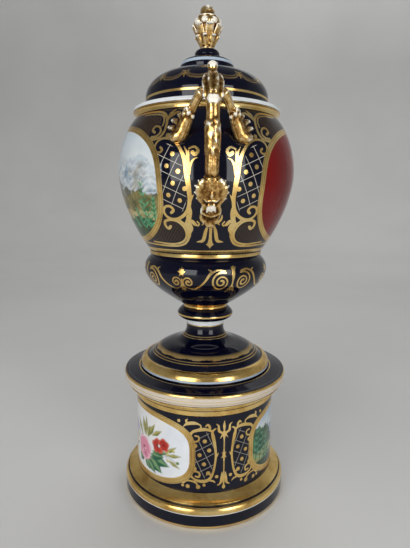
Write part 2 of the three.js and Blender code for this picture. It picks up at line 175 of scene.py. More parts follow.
def length_at(path, height=None, radius=None, after=0.0):
    """How far along the outline it first passes a height or a radius."""
    column, value = (2, height) if radius is None else (1, radius)
    offset = path[:, column] - value
    crossing = np.nonzero((offset[:-1] * offset[1:] <= 0) & (path[:-1, 0] >= after))[0]
    i = crossing[0]
    span = offset[i] - offset[i + 1]
    share = offset[i] / span if abs(span) > 1e-9 else 0.0
    return path[i, 0] + share * (path[i + 1, 0] - path[i, 0])


def row_lengths(path, step, zones=(), marks=()):
    """Where the rows of a turned surface lie: closer in the zones, at bends and at the marks."""
    length, radius, height = path.T
    angle = np.unwrap(np.arctan2(np.gradient(height), np.gradient(radius)))
    bend = np.abs(np.gradient(angle, length))
    density = np.maximum(1 / step, bend / ROW_BEND)
    for start, end, zone_step in zones:
        inside = (length >= start) & (length <= end)
        density = np.where(inside, np.maximum(density, 1 / zone_step), density)
    total = np.r_[0, np.cumsum((density[1:] + density[:-1]) / 2 * np.diff(length))]
    count = int(math.ceil(total[-1]))
    even = np.interp(np.linspace(0, total[-1], count + 1), total, length)
    marks = np.array(sorted(marks))
    if len(marks):
        gap = np.min(np.abs(even[:, None] - marks[None, :]), axis=1)
        keep = gap > MARK_GAP
        keep[0] = keep[-1] = True
        even = np.unique(np.r_[even[keep], marks])
    return even


def grid_faces(rows, columns, closed=False, caps=(True, True)):
    """The faces between rings of points. closed joins the last ring to the first, with no caps."""
    i, j = np.divmod(np.arange((rows if closed else rows - 1) * columns), columns)
    above, beside = (i + 1) % rows * columns, (j + 1) % columns
    corners = (i * columns + j, i * columns + beside, above + beside, above + j)
    faces = np.stack(corners, -1).tolist()
    if caps[0] and not closed:
        faces.append(list(range(columns))[::-1])
    if caps[1] and not closed:
        faces.append(list(range((rows - 1) * columns, rows * columns)))
    return faces


def store_layer(mesh, label, kind, field, values):
    layer = mesh.attributes.new(label, kind, "POINT")
    layer.data.foreach_set(field, np.asarray(values, np.float32).ravel())


def mesh_object(name, points, faces):
    mesh = bpy.data.meshes.new(name)
    mesh.from_pydata((points * MM).tolist(), [], faces)
    mesh.validate()
    mesh.shade_smooth()
    thing = bpy.data.objects.new(name, mesh)
    bpy.context.scene.collection.objects.link(thing)
    return thing


class Turned:
    """A turned surface as a grid: rows along its outline and columns round its axis.

    Its pattern is laid in as layers: gild is the distance in mm into the gilding, lace the
    strength of gilt lines finer than the grid, ink that of brown lines on the gold, weave the
    two coordinates and the strength of a trellis, and paint the colour of the glaze.
    """

    def __init__(self, path, lengths, angles, ground):
        self.path = path
        self.lengths = lengths
        self.angles = angles
        self.radii = np.interp(lengths, path[:, 0], path[:, 1])
        self.heights = np.interp(lengths, path[:, 0], path[:, 2])
        shape = (len(lengths), len(angles))
        self.theta = np.broadcast_to(angles[None, :], shape)
        self.along = np.broadcast_to(lengths[:, None], shape)
        self.radius = np.broadcast_to(self.radii[:, None], shape)
        self.height = np.broadcast_to(self.heights[:, None], shape)
        self.gild = np.full(shape, -PATTERN_MARGIN)
        self.lace = np.zeros(shape)
        self.ink = np.zeros(shape)
        self.weave = np.zeros(shape + (3,))
        self.paint = np.empty(shape + (3,))
        self.paint[:] = ground

    def band(self, start, end):
        """Gilds the rows between two lengths."""
        middle, half = (start + end) / 2, (end - start) / 2
        self.gild = np.maximum(self.gild, half - np.abs(self.along - middle))

    def flood(self, start, end, colour):
        inside = (self.lengths >= start - 1e-6) & (self.lengths <= end + 1e-6)
        self.paint[inside] = colour

    def build(self, name, closed=False):
        x = self.radius * np.sin(self.theta)
        y = -self.radius * np.cos(self.theta)
        points = np.stack([x, y, self.height], -1).reshape(-1, 3)
        caps = [radius < 0.5 for radius in (self.radii[0], self.radii[-1])]
        thing = mesh_object(name, points, grid_faces(*self.theta.shape, closed, caps))
        self.store(thing.data)
        self.smooth(thing)
        return thing

    def smooth(self, thing):
        """Gives the surface the normals of its outline, so no facet or seam shows."""
        slope_r = np.gradient(self.path[:, 1], self.path[:, 0])
        slope_z = np.gradient(self.path[:, 2], self.path[:, 0])
        out = np.interp(self.lengths, self.path[:, 0], slope_z)[:, None]
        up = -np.interp(self.lengths, self.path[:, 0], slope_r)[:, None]
        scale = np.maximum(np.hypot(out, up), 1e-9)
        out, up = out / scale, up / scale
        normals = np.stack(
            [out * np.sin(self.theta), -out * np.cos(self.theta), up + 0 * self.theta], -1
        )
        thing.data.normals_split_custom_set_from_vertices(normals.reshape(-1, 3).tolist())

    def store(self, mesh):
        for label in ("gild", "lace", "ink"):
            store_layer(mesh, label, "FLOAT", "value", getattr(self, label))
        store_layer(mesh, "weave", "FLOAT_VECTOR", "vector", self.weave)
        opaque = np.ones(self.theta.shape + (1,))
        store_layer(mesh, "paint", "FLOAT_COLOR", "color", np.concatenate([self.paint, opaque], -1))


def ring_angles(count, dense=()):
    """Column angles round the axis, closer together inside each dense span."""
    fine = np.radians(np.arange(0, 360, 0.05))
    weight = np.ones_like(fine)
    for middle, half, factor in dense:
        off = np.abs((np.degrees(fine) - middle + 180) % 360 - 180)
        weight = np.where(off < half, factor, weight)
    total = np.r_[0, np.cumsum(weight)]
    edges = np.r_[fine, 2 * math.pi]
    return np.interp(np.linspace(0, total[-1], count, endpoint=False), total, edges)


class Pen:
    """Paints on a turned surface in degrees from a middle line and mm of height."""

    def __init__(self, shape, middle, flip, datum):
        self.shape = shape
        self.middle = middle
        self.flip = flip
        start, end = datum
        part = shape.path[(shape.path[:, 0] >= start - 1e-6) & (shape.path[:, 0] <= end + 1e-6)]
        order = np.argsort(part[:, 2], kind="stable")
        self.scale = part[order]
        self.degree = math.radians(1) * part[:, 1].max()

    def window(self, points, reach):
        """The rows and columns near some points, with each one's place from the middle line."""
        shape = self.shape
        along = np.interp(points[:, 1], self.scale[:, 2], self.scale[:, 0])
        start, end = along.min() - reach, along.max() + reach
        rows = np.nonzero((shape.lengths >= start) & (shape.lengths <= end))[0]
        radius = max(shape.radii[rows].min(initial=shape.radii.max()), 1)
        low, high = points[:, 0].min(), points[:, 0].max()
        centre = (low + high) / 2
        turn = (np.degrees(shape.angles) - self.middle) * self.flip
        offset = (turn - centre + 180) % 360 - 180
        spread = (high - low) / 2 + math.degrees(reach / radius)
        columns = np.nonzero(np.abs(offset) <= spread)[0]
        degrees = offset[columns][None, :] + centre
        lengths, radii = shape.lengths[rows][:, None], shape.radii[rows][:, None]
        return np.ix_(rows, columns), degrees, lengths, radii

    def measure(self, points, widths, smooth=True):
        """How deep each grid point lies inside a stroke, in mm. The half widths spread along it."""
        known = np.array(points, float) * (self.degree, 1)
        if smooth and len(known) > 2:
            known, share = spline(known, max(8, len(known) * 6))
        else:
            chord = np.r_[0, np.cumsum(np.linalg.norm(np.diff(known, axis=0), axis=1))]
            share = chord / chord[-1]
        points = known / (self.degree, 1)
        widths = np.atleast_1d(np.array(widths, float))
        widths = np.interp(share, np.linspace(0, 1, len(widths)), widths)
        cells, degrees, lengths, radii = self.window(points, widths.max() + PATTERN_MARGIN)
        along = np.interp(points[:, 1], self.scale[:, 2], self.scale[:, 0])
        millimetres = np.radians(1) * radii
        best = np.full(np.broadcast_shapes(degrees.shape, lengths.shape), FAR_OUTSIDE)
        for k in range(len(points) - 1):
            px = (degrees - points[k, 0]) * millimetres
            py = lengths - along[k]
            vx = (points[k + 1, 0] - points[k, 0]) * millimetres
            vy = along[k + 1] - along[k]
            t = np.clip((px * vx + py * vy) / np.maximum(vx * vx + vy * vy, 1e-9), 0, 1)
            distance = np.hypot(px - t * vx, py - t * vy)
            best = np.maximum(best, widths[k] + (widths[k + 1] - widths[k]) * t - distance)
        return cells, best

    def stroke(self, points, widths, smooth=True):
        cells, depth = self.measure(points, widths, smooth)
        self.shape.gild[cells] = np.maximum(self.shape.gild[cells], depth)

    def strokes(self, *groups):
        for points, widths in groups:
            self.stroke(points, widths)

    def thread(self, points, strength, smooth=True):
        """A gilt line finer than the grid, laid in by its strength."""
        cells, depth = self.measure(points, HAIR_HALF, smooth)
        line = strength * np.clip(1 + depth / HAIR_SOFT, 0, 1)
        self.shape.lace[cells] = np.maximum(self.shape.lace[cells], line)

    def dot(self, degrees, height, radius):
        self.stroke([(degrees, height), (degrees, height + DOT_LENGTH)], radius, smooth=False)

    def tint(self, points, widths, colour, soft=0.8, strength=1.0, smooth=True):
        """Brushes a colour over the glaze along a stroke."""
        cells, depth = self.measure(points, widths, smooth)
        share = (strength * np.clip(depth / soft + 0.5, 0, 1))[..., None]
        paint = self.shape.paint[cells]
        self.shape.paint[cells] = paint * (1 - share) + np.array(colour) * share

    def dot_tint(self, spot, radius, colour, soft=0.8):
        self.tint([spot, (spot[0], spot[1] + DOT_LENGTH)], radius, colour, soft, smooth=False)

    def field(self, corners):
        """The grid near a closed outline, with True inside it."""
        corners = np.array(corners, float)
        cells, degrees, lengths, _ = self.window(corners, reach=0.5)
        heights = np.interp(lengths, self.shape.path[:, 0], self.shape.path[:, 2])
        x = np.broadcast_to(degrees, self.shape.gild[cells].shape)
        y = np.broadcast_to(heights, x.shape)
        return cells, x, y, inside_outline(corners, x, y)

    def hatch(self, corners, dark, light):
        """Fills an outline with close diagonal pen strokes."""
        cells, x, y, inside = self.field(corners)
        across = x * self.degree
        wave = 0.5 + 0.3 * np.sin(1.7 * across + 2.0 * y) + 0.25 * np.sin(1.6 * across - 1.9 * y)
        colour = np.array(dark) + (np.array(light) - np.array(dark)) * wave[..., None]
        ground = self.shape.paint[cells]
        open_ground = inside & (self.shape.gild[cells] < -HATCH_GAP)
        self.shape.paint[cells] = np.where(open_ground[..., None], colour, ground)

    def trellis(self, corners, start, first, second, radius, strength=0.9):
        """Two families of fine lines with a gilt dot in each cell, inside an outline."""
        cells, x, y, inside = self.field(corners)
        first, second = np.array(first), np.array(second)
        places = np.stack([x - start[0], y - start[1]], -1)
        shares = places @ np.linalg.inv(np.stack([first, second]))
        weave = self.shape.weave[cells]
        weave[..., :2] = shares + WEAVE_START
        weave[..., 2] = np.where(inside, strength, 0)
        self.shape.weave[cells] = weave
        outline = np.array(corners, float)
        margin = NEIGHBOURS * (DOT_MARGIN / self.degree, DOT_MARGIN)
        for i in range(-TRELLIS_REACH, TRELLIS_REACH + 1):
            for j in range(-TRELLIS_REACH, TRELLIS_REACH + 1):
                spot = np.array(start) + i * first + j * second
                x, y = (spot + margin).T
                if inside_outline(outline, x, y).all():
                    self.dot(spot[0], spot[1], radius)

    def oval(self, height, half_degrees, half_height, power):
        """How deep each grid point lies inside a rounded oval on the middle line, in mm."""
        half = np.array((half_degrees, half_height))
        corners = np.array([(0, height) - half, (0, height) + half])
        cells, degrees, lengths, radii = self.window(corners, reach=4)
        path = self.shape.path
        heights = np.interp(lengths, path[:, 0], path[:, 2])
        lift = np.interp(lengths, path[:, 0], np.abs(np.gradient(path[:, 2], path[:, 0])))
        x = np.abs(degrees) / half_degrees
        y = np.abs(heights - height) / half_height
        size = np.maximum((x**power + y**power) ** (1 / power), 1e-3)
        slope_x = size ** (1 - power) * x ** (power - 1) / (half_degrees * math.radians(1) * radii)
        slope_y = size ** (1 - power) * y ** (power - 1) / half_height * lift
        depth = (1 - size) / np.maximum(np.hypot(slope_x, slope_y), 1e-3)
        x = np.broadcast_to(degrees * self.degree, depth.shape)
        return cells, depth, x, np.broadcast_to(heights, depth.shape)

    def frame(self, height, outer, inner, power, picture):
        """A wide gilt frame round a painted oval. picture gives the colours inside it."""
        shape = self.shape
        cells, rim, x, y = self.oval(height, *outer, power)
        inner_cells, depth, _, _ = self.oval(height, *inner, power)
        opening = np.full(shape.gild.shape, FAR_OUTSIDE)
        opening[inner_cells] = depth
        opening = opening[cells]
        band = np.maximum(np.minimum(rim, -opening), -PATTERN_MARGIN)
        shape.gild[cells] = np.where(rim > 0, band, np.maximum(shape.gild[cells], band))
        shape.lace[cells] = np.where(rim > 0, 0, shape.lace[cells])
        for offset, strength in FRAME_LINES:
            line = strength * np.clip(1 - np.abs(rim - offset) / FRAME_LINE_SOFT, 0, 1)
            shape.ink[cells] = np.maximum(shape.ink[cells], line)
        colours = picture(x, y)
        shape.paint[cells] = np.where((opening > -0.5)[..., None], colours, shape.paint[cells])


NEIGHBOURS = np.array([(0, 0), (1, 0), (-1, 0), (0, 1), (0, -1)])


def inside_outline(corners, x, y):
    """Which of some places lie inside a closed outline."""
    inside = np.zeros(np.shape(x), bool)
    for a, b in zip(corners, np.roll(corners, -1, axis=0)):
        crosses = (a[1] > y) != (b[1] > y)
        rise = b[1] - a[1] if abs(b[1] - a[1]) > 1e-9 else 1e-9
        inside ^= crosses & (x < a[0] + (y - a[1]) * (b[0] - a[0]) / rise)
    return inside


# Outlines of the pieces


def base_path():
    return trace(
        (72, 2.5),
        (74.4, 0),
        (79.4, 0),
        (BASE_RADIUS, 4),
        (BASE_RADIUS, 14.5),
        ((BASE_RADIUS, 21), (78.6, 21)),
        (77.9, 21.3),
        (78.6, 23),
        ((74, 24.1), (DRUM_RADIUS, DRUM_BOTTOM)),
        (DRUM_RADIUS - 1.5, DRUM_BOTTOM + 0.3),
        (DRUM_RADIUS - 5, DRUM_BOTTOM - 5),
        (74.4, 9.5),
        (72, 2.5),
    )


def drum_path():
    inner = DRUM_RADIUS - 5
    return trace(
        (inner, DRUM_BOTTOM - 5),
        (DRUM_RADIUS - 0.1, DRUM_BOTTOM - 0.8),
        (DRUM_RADIUS, DRUM_BOTTOM),
        (DRUM_RADIUS, DRUM_TOP + 0.6),
        (inner, DRUM_TOP + 3),
        (inner, DRUM_BOTTOM - 5),
    )


def cap_path():
    band = DRUM_RADIUS + 1.2
    return trace(
        (0.1, 121.3),
        (DRUM_RADIUS - 5, 121.3),
        (DRUM_RADIUS - 5, DRUM_TOP),
        (DRUM_RADIUS, DRUM_TOP),
        (band, DRUM_TOP + 1),
        (band, 107.2),
        ((band, 114), (CAP_LIP_RADIUS, 114)),
        (CAP_LIP_RADIUS, 118.5),
        (CAP_RIM_RADIUS, 119.5),
        (CAP_RIM_RADIUS, 125),
        ((CAP_RIM_RADIUS, 127.3), (78.8, 127.3)),
        (66.8, PLINTH_TOP),
        (0.1, PLINTH_TOP),
    )


def socle_path():
    torus_bottom, torus_top = (64.8, 133.4), (57, 140.4)
    spread_top, neck = (34, 154.5), (18.7, 167.9)
    return trace(
        (0.1, SOCLE_TOP - 5),
        (13.7, SOCLE_TOP - 5),
        (13.7, 152),
        (34, 149.5),
        (52, 137.9),
        (59.8, SOCLE_BOTTOM),
        (64.8, SOCLE_BOTTOM),
        torus_bottom,
        (between(torus_bottom, torus_top, 0.13, 1), torus_top),
        (between(torus_top, spread_top, 0.44, 0.75), spread_top),
        (between(spread_top, neck, 0.95, 0.22), neck),
        (18.7, SOCLE_TOP),
        (0.1, SOCLE_TOP),
    )


def cup_path():
    cup_foot, cup_widest, cup_top = (21.2, 191.4), (60.1, CUP_BELLY), (53.4, WAIST)
    return trace(
        (12, 186),
        (12, VASE_BOTTOM),
        (24.4, VASE_BOTTOM),
        ((32.3, 182.5), (22.2, 189.6)),
        (21.2, 189.6),
        cup_foot,
        (
            between(cup_foot, cup_widest, 0.54, 0.34),
            between(cup_foot, cup_widest, 1, 0.63),
            cup_widest,
        ),
        (between(cup_widest, cup_top, 0, 0.56), cup_top),
        (54.7, 242.9),
        (54.7, 246.5),
        (54.2, 247),
    )


def belly_path():
    foot, widest, neck = (57.4, BELLY_BOTTOM), (BELLY_RADIUS, BELLY_MIDDLE), (66, NECK)
    lip = (68.7, 372.3)
    return trace(
        (54.2, 246.2),
        (57.4, 250.1),
        foot,
        (between(foot, widest, 0.46, 0.24), between(foot, widest, 1, 0.66), widest),
        (between(widest, neck, 0, 0.39), between(widest, neck, 0.42, 0.79), neck),
        ((66, 372.3), lip),
        (68.7, 374.4),
        ((68.7, LIP_TOP), (66.6, LIP_TOP)),
        (MOUTH_RADIUS, LIP_TOP),
        (MOUTH_RADIUS, 369.2),
    )


def lining_path():
    return trace(
        (MOUTH_RADIUS, 369.3),
        (61.4, 363.6),
        (75, 345),
        ((78.7, 325), (78.7, 312)),
        ((78, 285), (60, 262)),
        ((49, 249), (48.8, 241.9)),
        ((55, 236), (55.5, 229.4)),
        ((55, 212), (16.6, 198.4)),
        (0.1, 198.4),
    )


def lid_path():
    side_top, tier_foot, tier_side = (57.3, 387.1), (25.2, TIER_BOTTOM), (25.2, 415.4)
    tier_shoulder = (20.4, 421)
    return trace(
        (0.1, 406.8),
        (21.2, 406.8),
        (between((21.2, 406.8), (48.6, 383.1), 0.85, 0.2), (48.6, 383.1)),
        (48.6, 368.8),
        (52.6, 368.8),
        (52.6, LID_BOTTOM),
        (57.3, LID_BOTTOM),
        side_top,
        (
            between(side_top, tier_foot, 0.02, 0.51),
            between(side_top, tier_foot, 0.41, 0.92),
            tier_foot,
        ),
        tier_side,
        (between(tier_side, tier_shoulder, 0.17, 0.82), tier_shoulder),
        (11.6, TIER_TOP),
        ((12.2, 429.6), (8.2, FINIAL_BOTTOM)),
        (0.1, FINIAL_BOTTOM),
    )


# Gilt ornament: places are degrees from a middle line and mm of height, drawn one by one


def belly_side(pen):
    """Half of the gilding between two panels of the belly."""
    cells = [
        (16.5, 322), (19.5, 331), (24, 337), (28, 338), (29, 334), (33, 331), (31.5, 325), (29.5, 315),
        (29, 305), (29.5, 295), (30.5, 288), (25, 290), (19, 283.5), (15.8, 288), (15, 295),
        (15.3, 305), (16, 315),
    ]
    pen.trellis(cells, (22.5, 329.5), (3.4, -9.3), (6.8, 4.3), 1.9)
    tall_scroll = [
        (30.3, 335), (29, 333), (30.5, 331), (33, 331.8), (34.2, 335.5), (33, 339.5), (29.5, 342),
        (25, 341.5), (21, 338.3), (18, 333), (15.5, 325), (14.2, 314), (13.2, 302), (13, 294),
        (14.3, 286.5), (17.5, 281), (22, 278), (26.5, 277.8), (30, 280.5), (31, 284.5), (29, 288),
        (25.5, 288), (24, 285), (25.8, 283),
    ]
    pen.stroke(tall_scroll, (0.9, 0.8, 0.8, 1, 1.2, 1.7, 2.1, 2, 1.6, 1.4, 1.3, 1.1, 1, 1.2))
    tufts = (
        ([(14.3, 314), (14.6, 322), (13.8, 329), (16, 335.5)], (1.3, 1.5, 0.3)),
        ([(13.6, 316), (13.5, 325), (13, 333)], (1.3, 1.3, 0.3)),
        ([(13, 314), (12, 321), (10.3, 325), (8, 326.5)], (1.3, 1.1, 0.2)),
        ([(13, 333.5), (10, 334.8), (8, 331.8), (9.5, 328.8), (11, 330.5)], (0.7, 0.9, 1.3, 1.6)),
        ([(14, 289), (12.2, 294), (10.3, 298.3)], (1.0, 1.0, 0.2)),
    )
    acanthus = (
        ([(14, 292), (13.3, 284), (15, 277), (18, 272.5)], (0.6, 1.6, 2.0, 1.0)),
        ([(15, 280), (12.5, 283.5)], (1.4, 0.2)),
        ([(15.5, 276), (13.3, 270), (14.5, 265.5)], (1.6, 1.6, 0.3)),
        ([(16.5, 274), (14.8, 267), (15, 262)], (1.2, 1.2, 0.2)),
        ([(15, 276.5), (12.5, 276), (10.5, 273.5), (8.5, 272.5)], (0.5, 1.6, 1.5, 0.2)),
        ([(9, 276), (7.8, 274), (8.6, 272.3)], 0.6),
    )
    lower_scroll = (
        ([(28.5, 271.5), (30.5, 269.5), (32.5, 272), (32, 275.5), (28, 277), (23, 276), (19.5, 272.5),
          (17.6, 268), (17.8, 263), (20.5, 259), (25, 256.8), (32, 255.8), (42, 256.2), (52, 256.8)],
         (1.3, 0.9, 0.9, 0.8)),
        ([(21, 277), (17.5, 273), (15.8, 267.5), (16.3, 261.5), (19.5, 257), (25, 254.6), (33, 253.8),
          (45, 254), (60, 254.5), (75, 254.8), (90, 255)], 0.9),
    )
    upper_scroll = (
        ([(36, 347.5), (38, 349.5), (36.5, 352.5), (33, 351.5), (31.8, 347.8), (34, 344.5), (38, 343.8)],
         (1.1, 0.8, 0.8)),
        ([(40, 342.5), (35.5, 341.8), (31.5, 343.5), (29.3, 347.5), (28.6, 353), (29.3, 358.5),
          (31.8, 362.5), (36, 364.8), (43, 365.8), (55, 366.3), (75, 366.5), (90, 366.5)], 1.0),
        ([(31.3, 352.5), (31, 356.5), (32.6, 360.5), (36.3, 362.6), (43, 363.6), (52, 364)], 0.6),
        ([(29, 357), (26.5, 361), (23, 363.5), (20, 363)], (0.5, 1.4, 1.3, 0.3)),
        ([(28.5, 359.5), (27.5, 363), (24.5, 366.3)], (0.8, 1.2, 0.2)),
    )
    lily = (
        ([(0, 275), (0, 270), (0, 264), (0, 259), (0, 256)], (0.5, 1.2, 1.1, 1.3, 2.4)),
        ([(0, 257), (0, 252.6)], (2.2, 0.2)),
        ([(0, 257.5), (3, 256)], (1.2, 0.3)),
        ([(1.8, 273.5), (3.4, 268), (4.6, 262), (5.6, 259.5), (10.5, 258.3)], (0.6, 1.3, 1.5, 1.4, 0.2)),
        ([(1.5, 274.5), (4.5, 275.5), (6.5, 278), (7, 282)], (0.6, 1.2, 1, 0.2)),
        ([(4, 275.5), (6, 273)], (0.9, 0.3)),
    )
    pen.strokes(*tufts, *acanthus, *lower_scroll, *upper_scroll, *lily)
    pen.dot(26.5, 344.6, 1.7)
    lower_field = [
        (22, 275), (19.8, 271), (18.7, 266.5), (19.4, 262.5), (22, 259.8), (26, 258.3), (33, 257.6),
        (58, 258.2), (48, 263), (41, 270), (36, 277), (30, 276.5),
    ]
    upper_field = [
        (32.5, 355), (34, 360), (38, 362), (46, 362.7), (70, 363), (58, 357), (50, 352), (43, 347),
        (39.5, 345.6), (39.6, 350), (37.5, 354),
    ]
    for field in (lower_field, upper_field):
        pen.hatch(field, HATCH_DARK, HATCH_LIGHT)


def drum_side(pen):
    """Half of the gilding between two panels of the drum."""
    cells = [
        (9.5, 86), (14, 88.5), (18, 87), (18, 80), (21, 77.5), (24.5, 79), (23, 73), (22.3, 65),
        (22.8, 57), (24.5, 51), (20, 50.5), (17, 47), (17.5, 42.5), (12.5, 43.5), (10, 47),
        (8.3, 55), (7.6, 65), (8.3, 76),
    ]
    pen.trellis(cells, (14.7, 79.5), (-3.3, -8.8), (7.1, -4.7), 1.9, strength=0.5)
    spine = (
        ([(0, 98.5), (0, 94), (0, 88)], (0.2, 1.3, 0.4)),
        ([(6.3, 96), (4.5, 94), (4, 89), (1, 86.5)], (0.3, 0.9, 1.2, 0.8)),
        ([(0, 87.5), (3.2, 81.5)], (1.2, 0.2)),
        ([(0, 88), (0, 82), (0, 77.5)], (1.0, 1.0, 0.2)),
        ([(0, 70), (0, 60)], 0.7),
        ([(0, 65.5), (1.8, 68.2)], (0.9, 0.2)),
        ([(0, 65.5), (2.2, 62)], (0.9, 0.2)),
        ([(0, 50.5), (0, 44), (0, 35)], (0.3, 1.1, 0.5)),
        ([(0, 36), (0, 33.8), (0, 31.6)], (0.3, 1.7, 0.2)),
        ([(1.2, 49), (1.8, 43), (2.6, 37.5), (5.5, 35.5)], (0.3, 1.0, 1.1, 0.2)),
    )
    bracket = (
        ([(6.5, 91.5), (9, 89), (8.5, 84), (7.2, 76), (6.3, 66), (6.8, 58), (8, 50), (9.5, 45),
          (12, 41.5), (17, 40), (22, 41)], (0.6, 1.6, 1.2, 0.9, 0.9, 1.0, 1.6, 0.7)),
        ([(9, 89), (14, 91), (20, 90), (24, 88), (25.5, 84), (24, 79.5), (21, 79), (19, 81),
          (19.5, 84), (22, 84.5)], (0.8, 1.6, 1.3, 0.9, 0.8, 0.7)),
        ([(12, 41.5), (19, 41), (23.5, 43), (25, 47), (22, 50), (18.5, 48), (19, 44.5), (21.5, 45)],
         (0.8, 0.9, 0.8)),
        ([(18.5, 91.5), (17.5, 94), (21, 96.5), (28, 95.5), (31, 92.5)], (0.5, 0.7, 1.6, 1.5, 0.3)),
        ([(27, 95.5), (29, 98.5), (27.5, 100)], (1.2, 0.9, 0.3)),
        ([(11, 90), (11, 93), (12.5, 95.5), (14, 94)], (0.4, 1.1, 1.0, 0.6)),
        ([(6.3, 38), (8, 40.2), (11, 41)], (0.2, 0.9, 0.5)),
        ([(9.5, 46), (12, 48.5), (13.5, 46)], (1.1, 0.6, 0.3)),
        ([(5.6, 65), (4.2, 68)], (0.9, 0.2)),
        ([(19, 35), (22, 39), (28, 40), (31, 37)], (0.7, 0.8, 0.7)),
    )
    pen.strokes(*spine, *bracket)
    pen.thread([(0, 78), (0, 70)], 0.8, smooth=False)
    pen.thread([(0, 60), (0, 50)], 0.8, smooth=False)
    for degrees, height, radius in (
        (34.5, 97.5, 1.5), (5.5, 44.5, 1.6), (19.5, 34.5, 2), (27.5, 34.3, 1.9), (31.5, 34.7, 1.4),
        (15, 36.5, 1.4),
    ):
        pen.dot(degrees, height, radius)


def volute(middle, height, radius, start, turns, degree, sense=1):
    """The points of a scroll that winds in from its edge. start is the angle that it begins at."""
    share = np.linspace(0, 1, int(turns * 12))
    angle = math.radians(start) + sense * share * turns * 2 * math.pi
    reach = radius * (1 - 0.85 * share**0.85)
    return np.column_stack([middle + reach * np.cos(angle) / degree, height + reach * np.sin(angle)])


def cup_side(pen):
    """Half of one unit of the running scroll round the cup."""
    stem = [(40.5, 216.5), (36, 215.4), (30, 218), (25, 223), (20, 230), (14, 233.5), (7.5, 232.5)]
    pen.strokes(
        (stem, (0.5, 0.8, 0.9, 0.8, 0.7)),
        ([(26, 221), (22, 228), (19.5, 232.5), (22, 234)], (0.4, 0.9, 1.1, 0.3)),
        (volute(10.6, 222.5, 9.4, 115, 2.1, pen.degree, -1), (0.75, 0.8, 0.7, 0.7, 1.0)),
        (volute(39.4, 222, 5.8, -60, 1.6, pen.degree), (0.65, 0.6, 0.9)),
        ([(0.4, 233.5), (2.2, 236)], (1.1, 0.2)),
        ([(0, 236), (0, 231), (0, 222), (0, 217)], (1.0, 1.6, 0.6, 0.9)),
        ([(0, 219), (2.6, 214.5), (4.6, 212)], (0.9, 1.2, 0.2)),
        ([(0, 218), (0, 213)], (1.1, 0.2)),
        ([(45, 226), (45, 219.5), (45, 213)], (0.2, 1.3, 0.2)),
        ([(45, 218), (42.8, 213.8)], (1.1, 0.2)),
    )
    star = (45, 231)
    for width, ray in ((1.5, (43, 234.5)), (1.5, (41.2, 231.8)), (1.4, (43, 227.5)), (1.5, (45, 235.5))):
        pen.stroke([star, ray], (width, 0.2))


def dome_side(pen):
    """Half of one swag of the fine festoon round the lid."""
    half = 360 / SWAGS / 2
    pen.thread([(2, 398.5), (4.5, 395), (half, 393.2)], 0.26)
    pen.thread([(2.4, 399.4), (5.6, 396.6), (half, 395.2)], 0.16)
    pen.thread([(1.6, 400), (3, 400.6)], 0.4, smooth=False)
    pen.strokes(
        ([(0, 400.2), (0.2, 398.6)], (0.6, 0.5)),
        ([(0.6, 398), (2.4, 396.2)], (0.6, 0.2)),
        ([(0.2, 397), (0.5, 394.2)], (0.5, 0.2)),
    )


# Painted pictures


def mixed(low, high, share):
    """Colours between two, by a share for each place."""
    share = np.clip(share, 0, 1)[..., None]
    return np.array(low) * (1 - share) + np.array(high) * share


def ripple(x, seed, pitch):
    """An irregular line of about unit height: a sum of waves, each finer and lower."""
    rng = np.random.default_rng(seed)
    total = np.zeros_like(x)
    for k in range(6):
        total = total + np.sin(x * pitch * 1.9**k + rng.uniform(0, 2 * math.pi)) / 1.6**k
    return total


def speckle(x, y, seed, pitch):
    """Soft irregular blotches between 0 and 1."""
    rng = np.random.default_rng(seed)
    total = np.zeros_like(x)
    for k in range(9):
        turn = 2.4 * k
        scale = pitch * 1.35**k
        along = x * math.cos(turn) + y * math.sin(turn)
        total = total + np.sin(scale * along + rng.uniform(0, 6)) / 1.25**k
    return np.clip(0.5 + 0.22 * total, 0, 1)


def ridge(x, knots, seed, rough):
    """The height of a skyline through some knots."""
    across, height = zip(*knots)
    return np.interp(x, across, height) + rough * ripple(x, seed, 0.16)


def below(colours, line, y, colour):
    """Lays a colour over all that is below a skyline."""
    return mixed(colours, colour, line - y + 0.5)


def landscape(colours, x, y, layers):
    """Lays hills over a sky. Each has its skyline's knots, seed and roughness, and its colour."""
    for knots, seed, rough, colour in layers:
        colours = below(colours, ridge(x, knots, seed, rough), y, colour)
    return colours


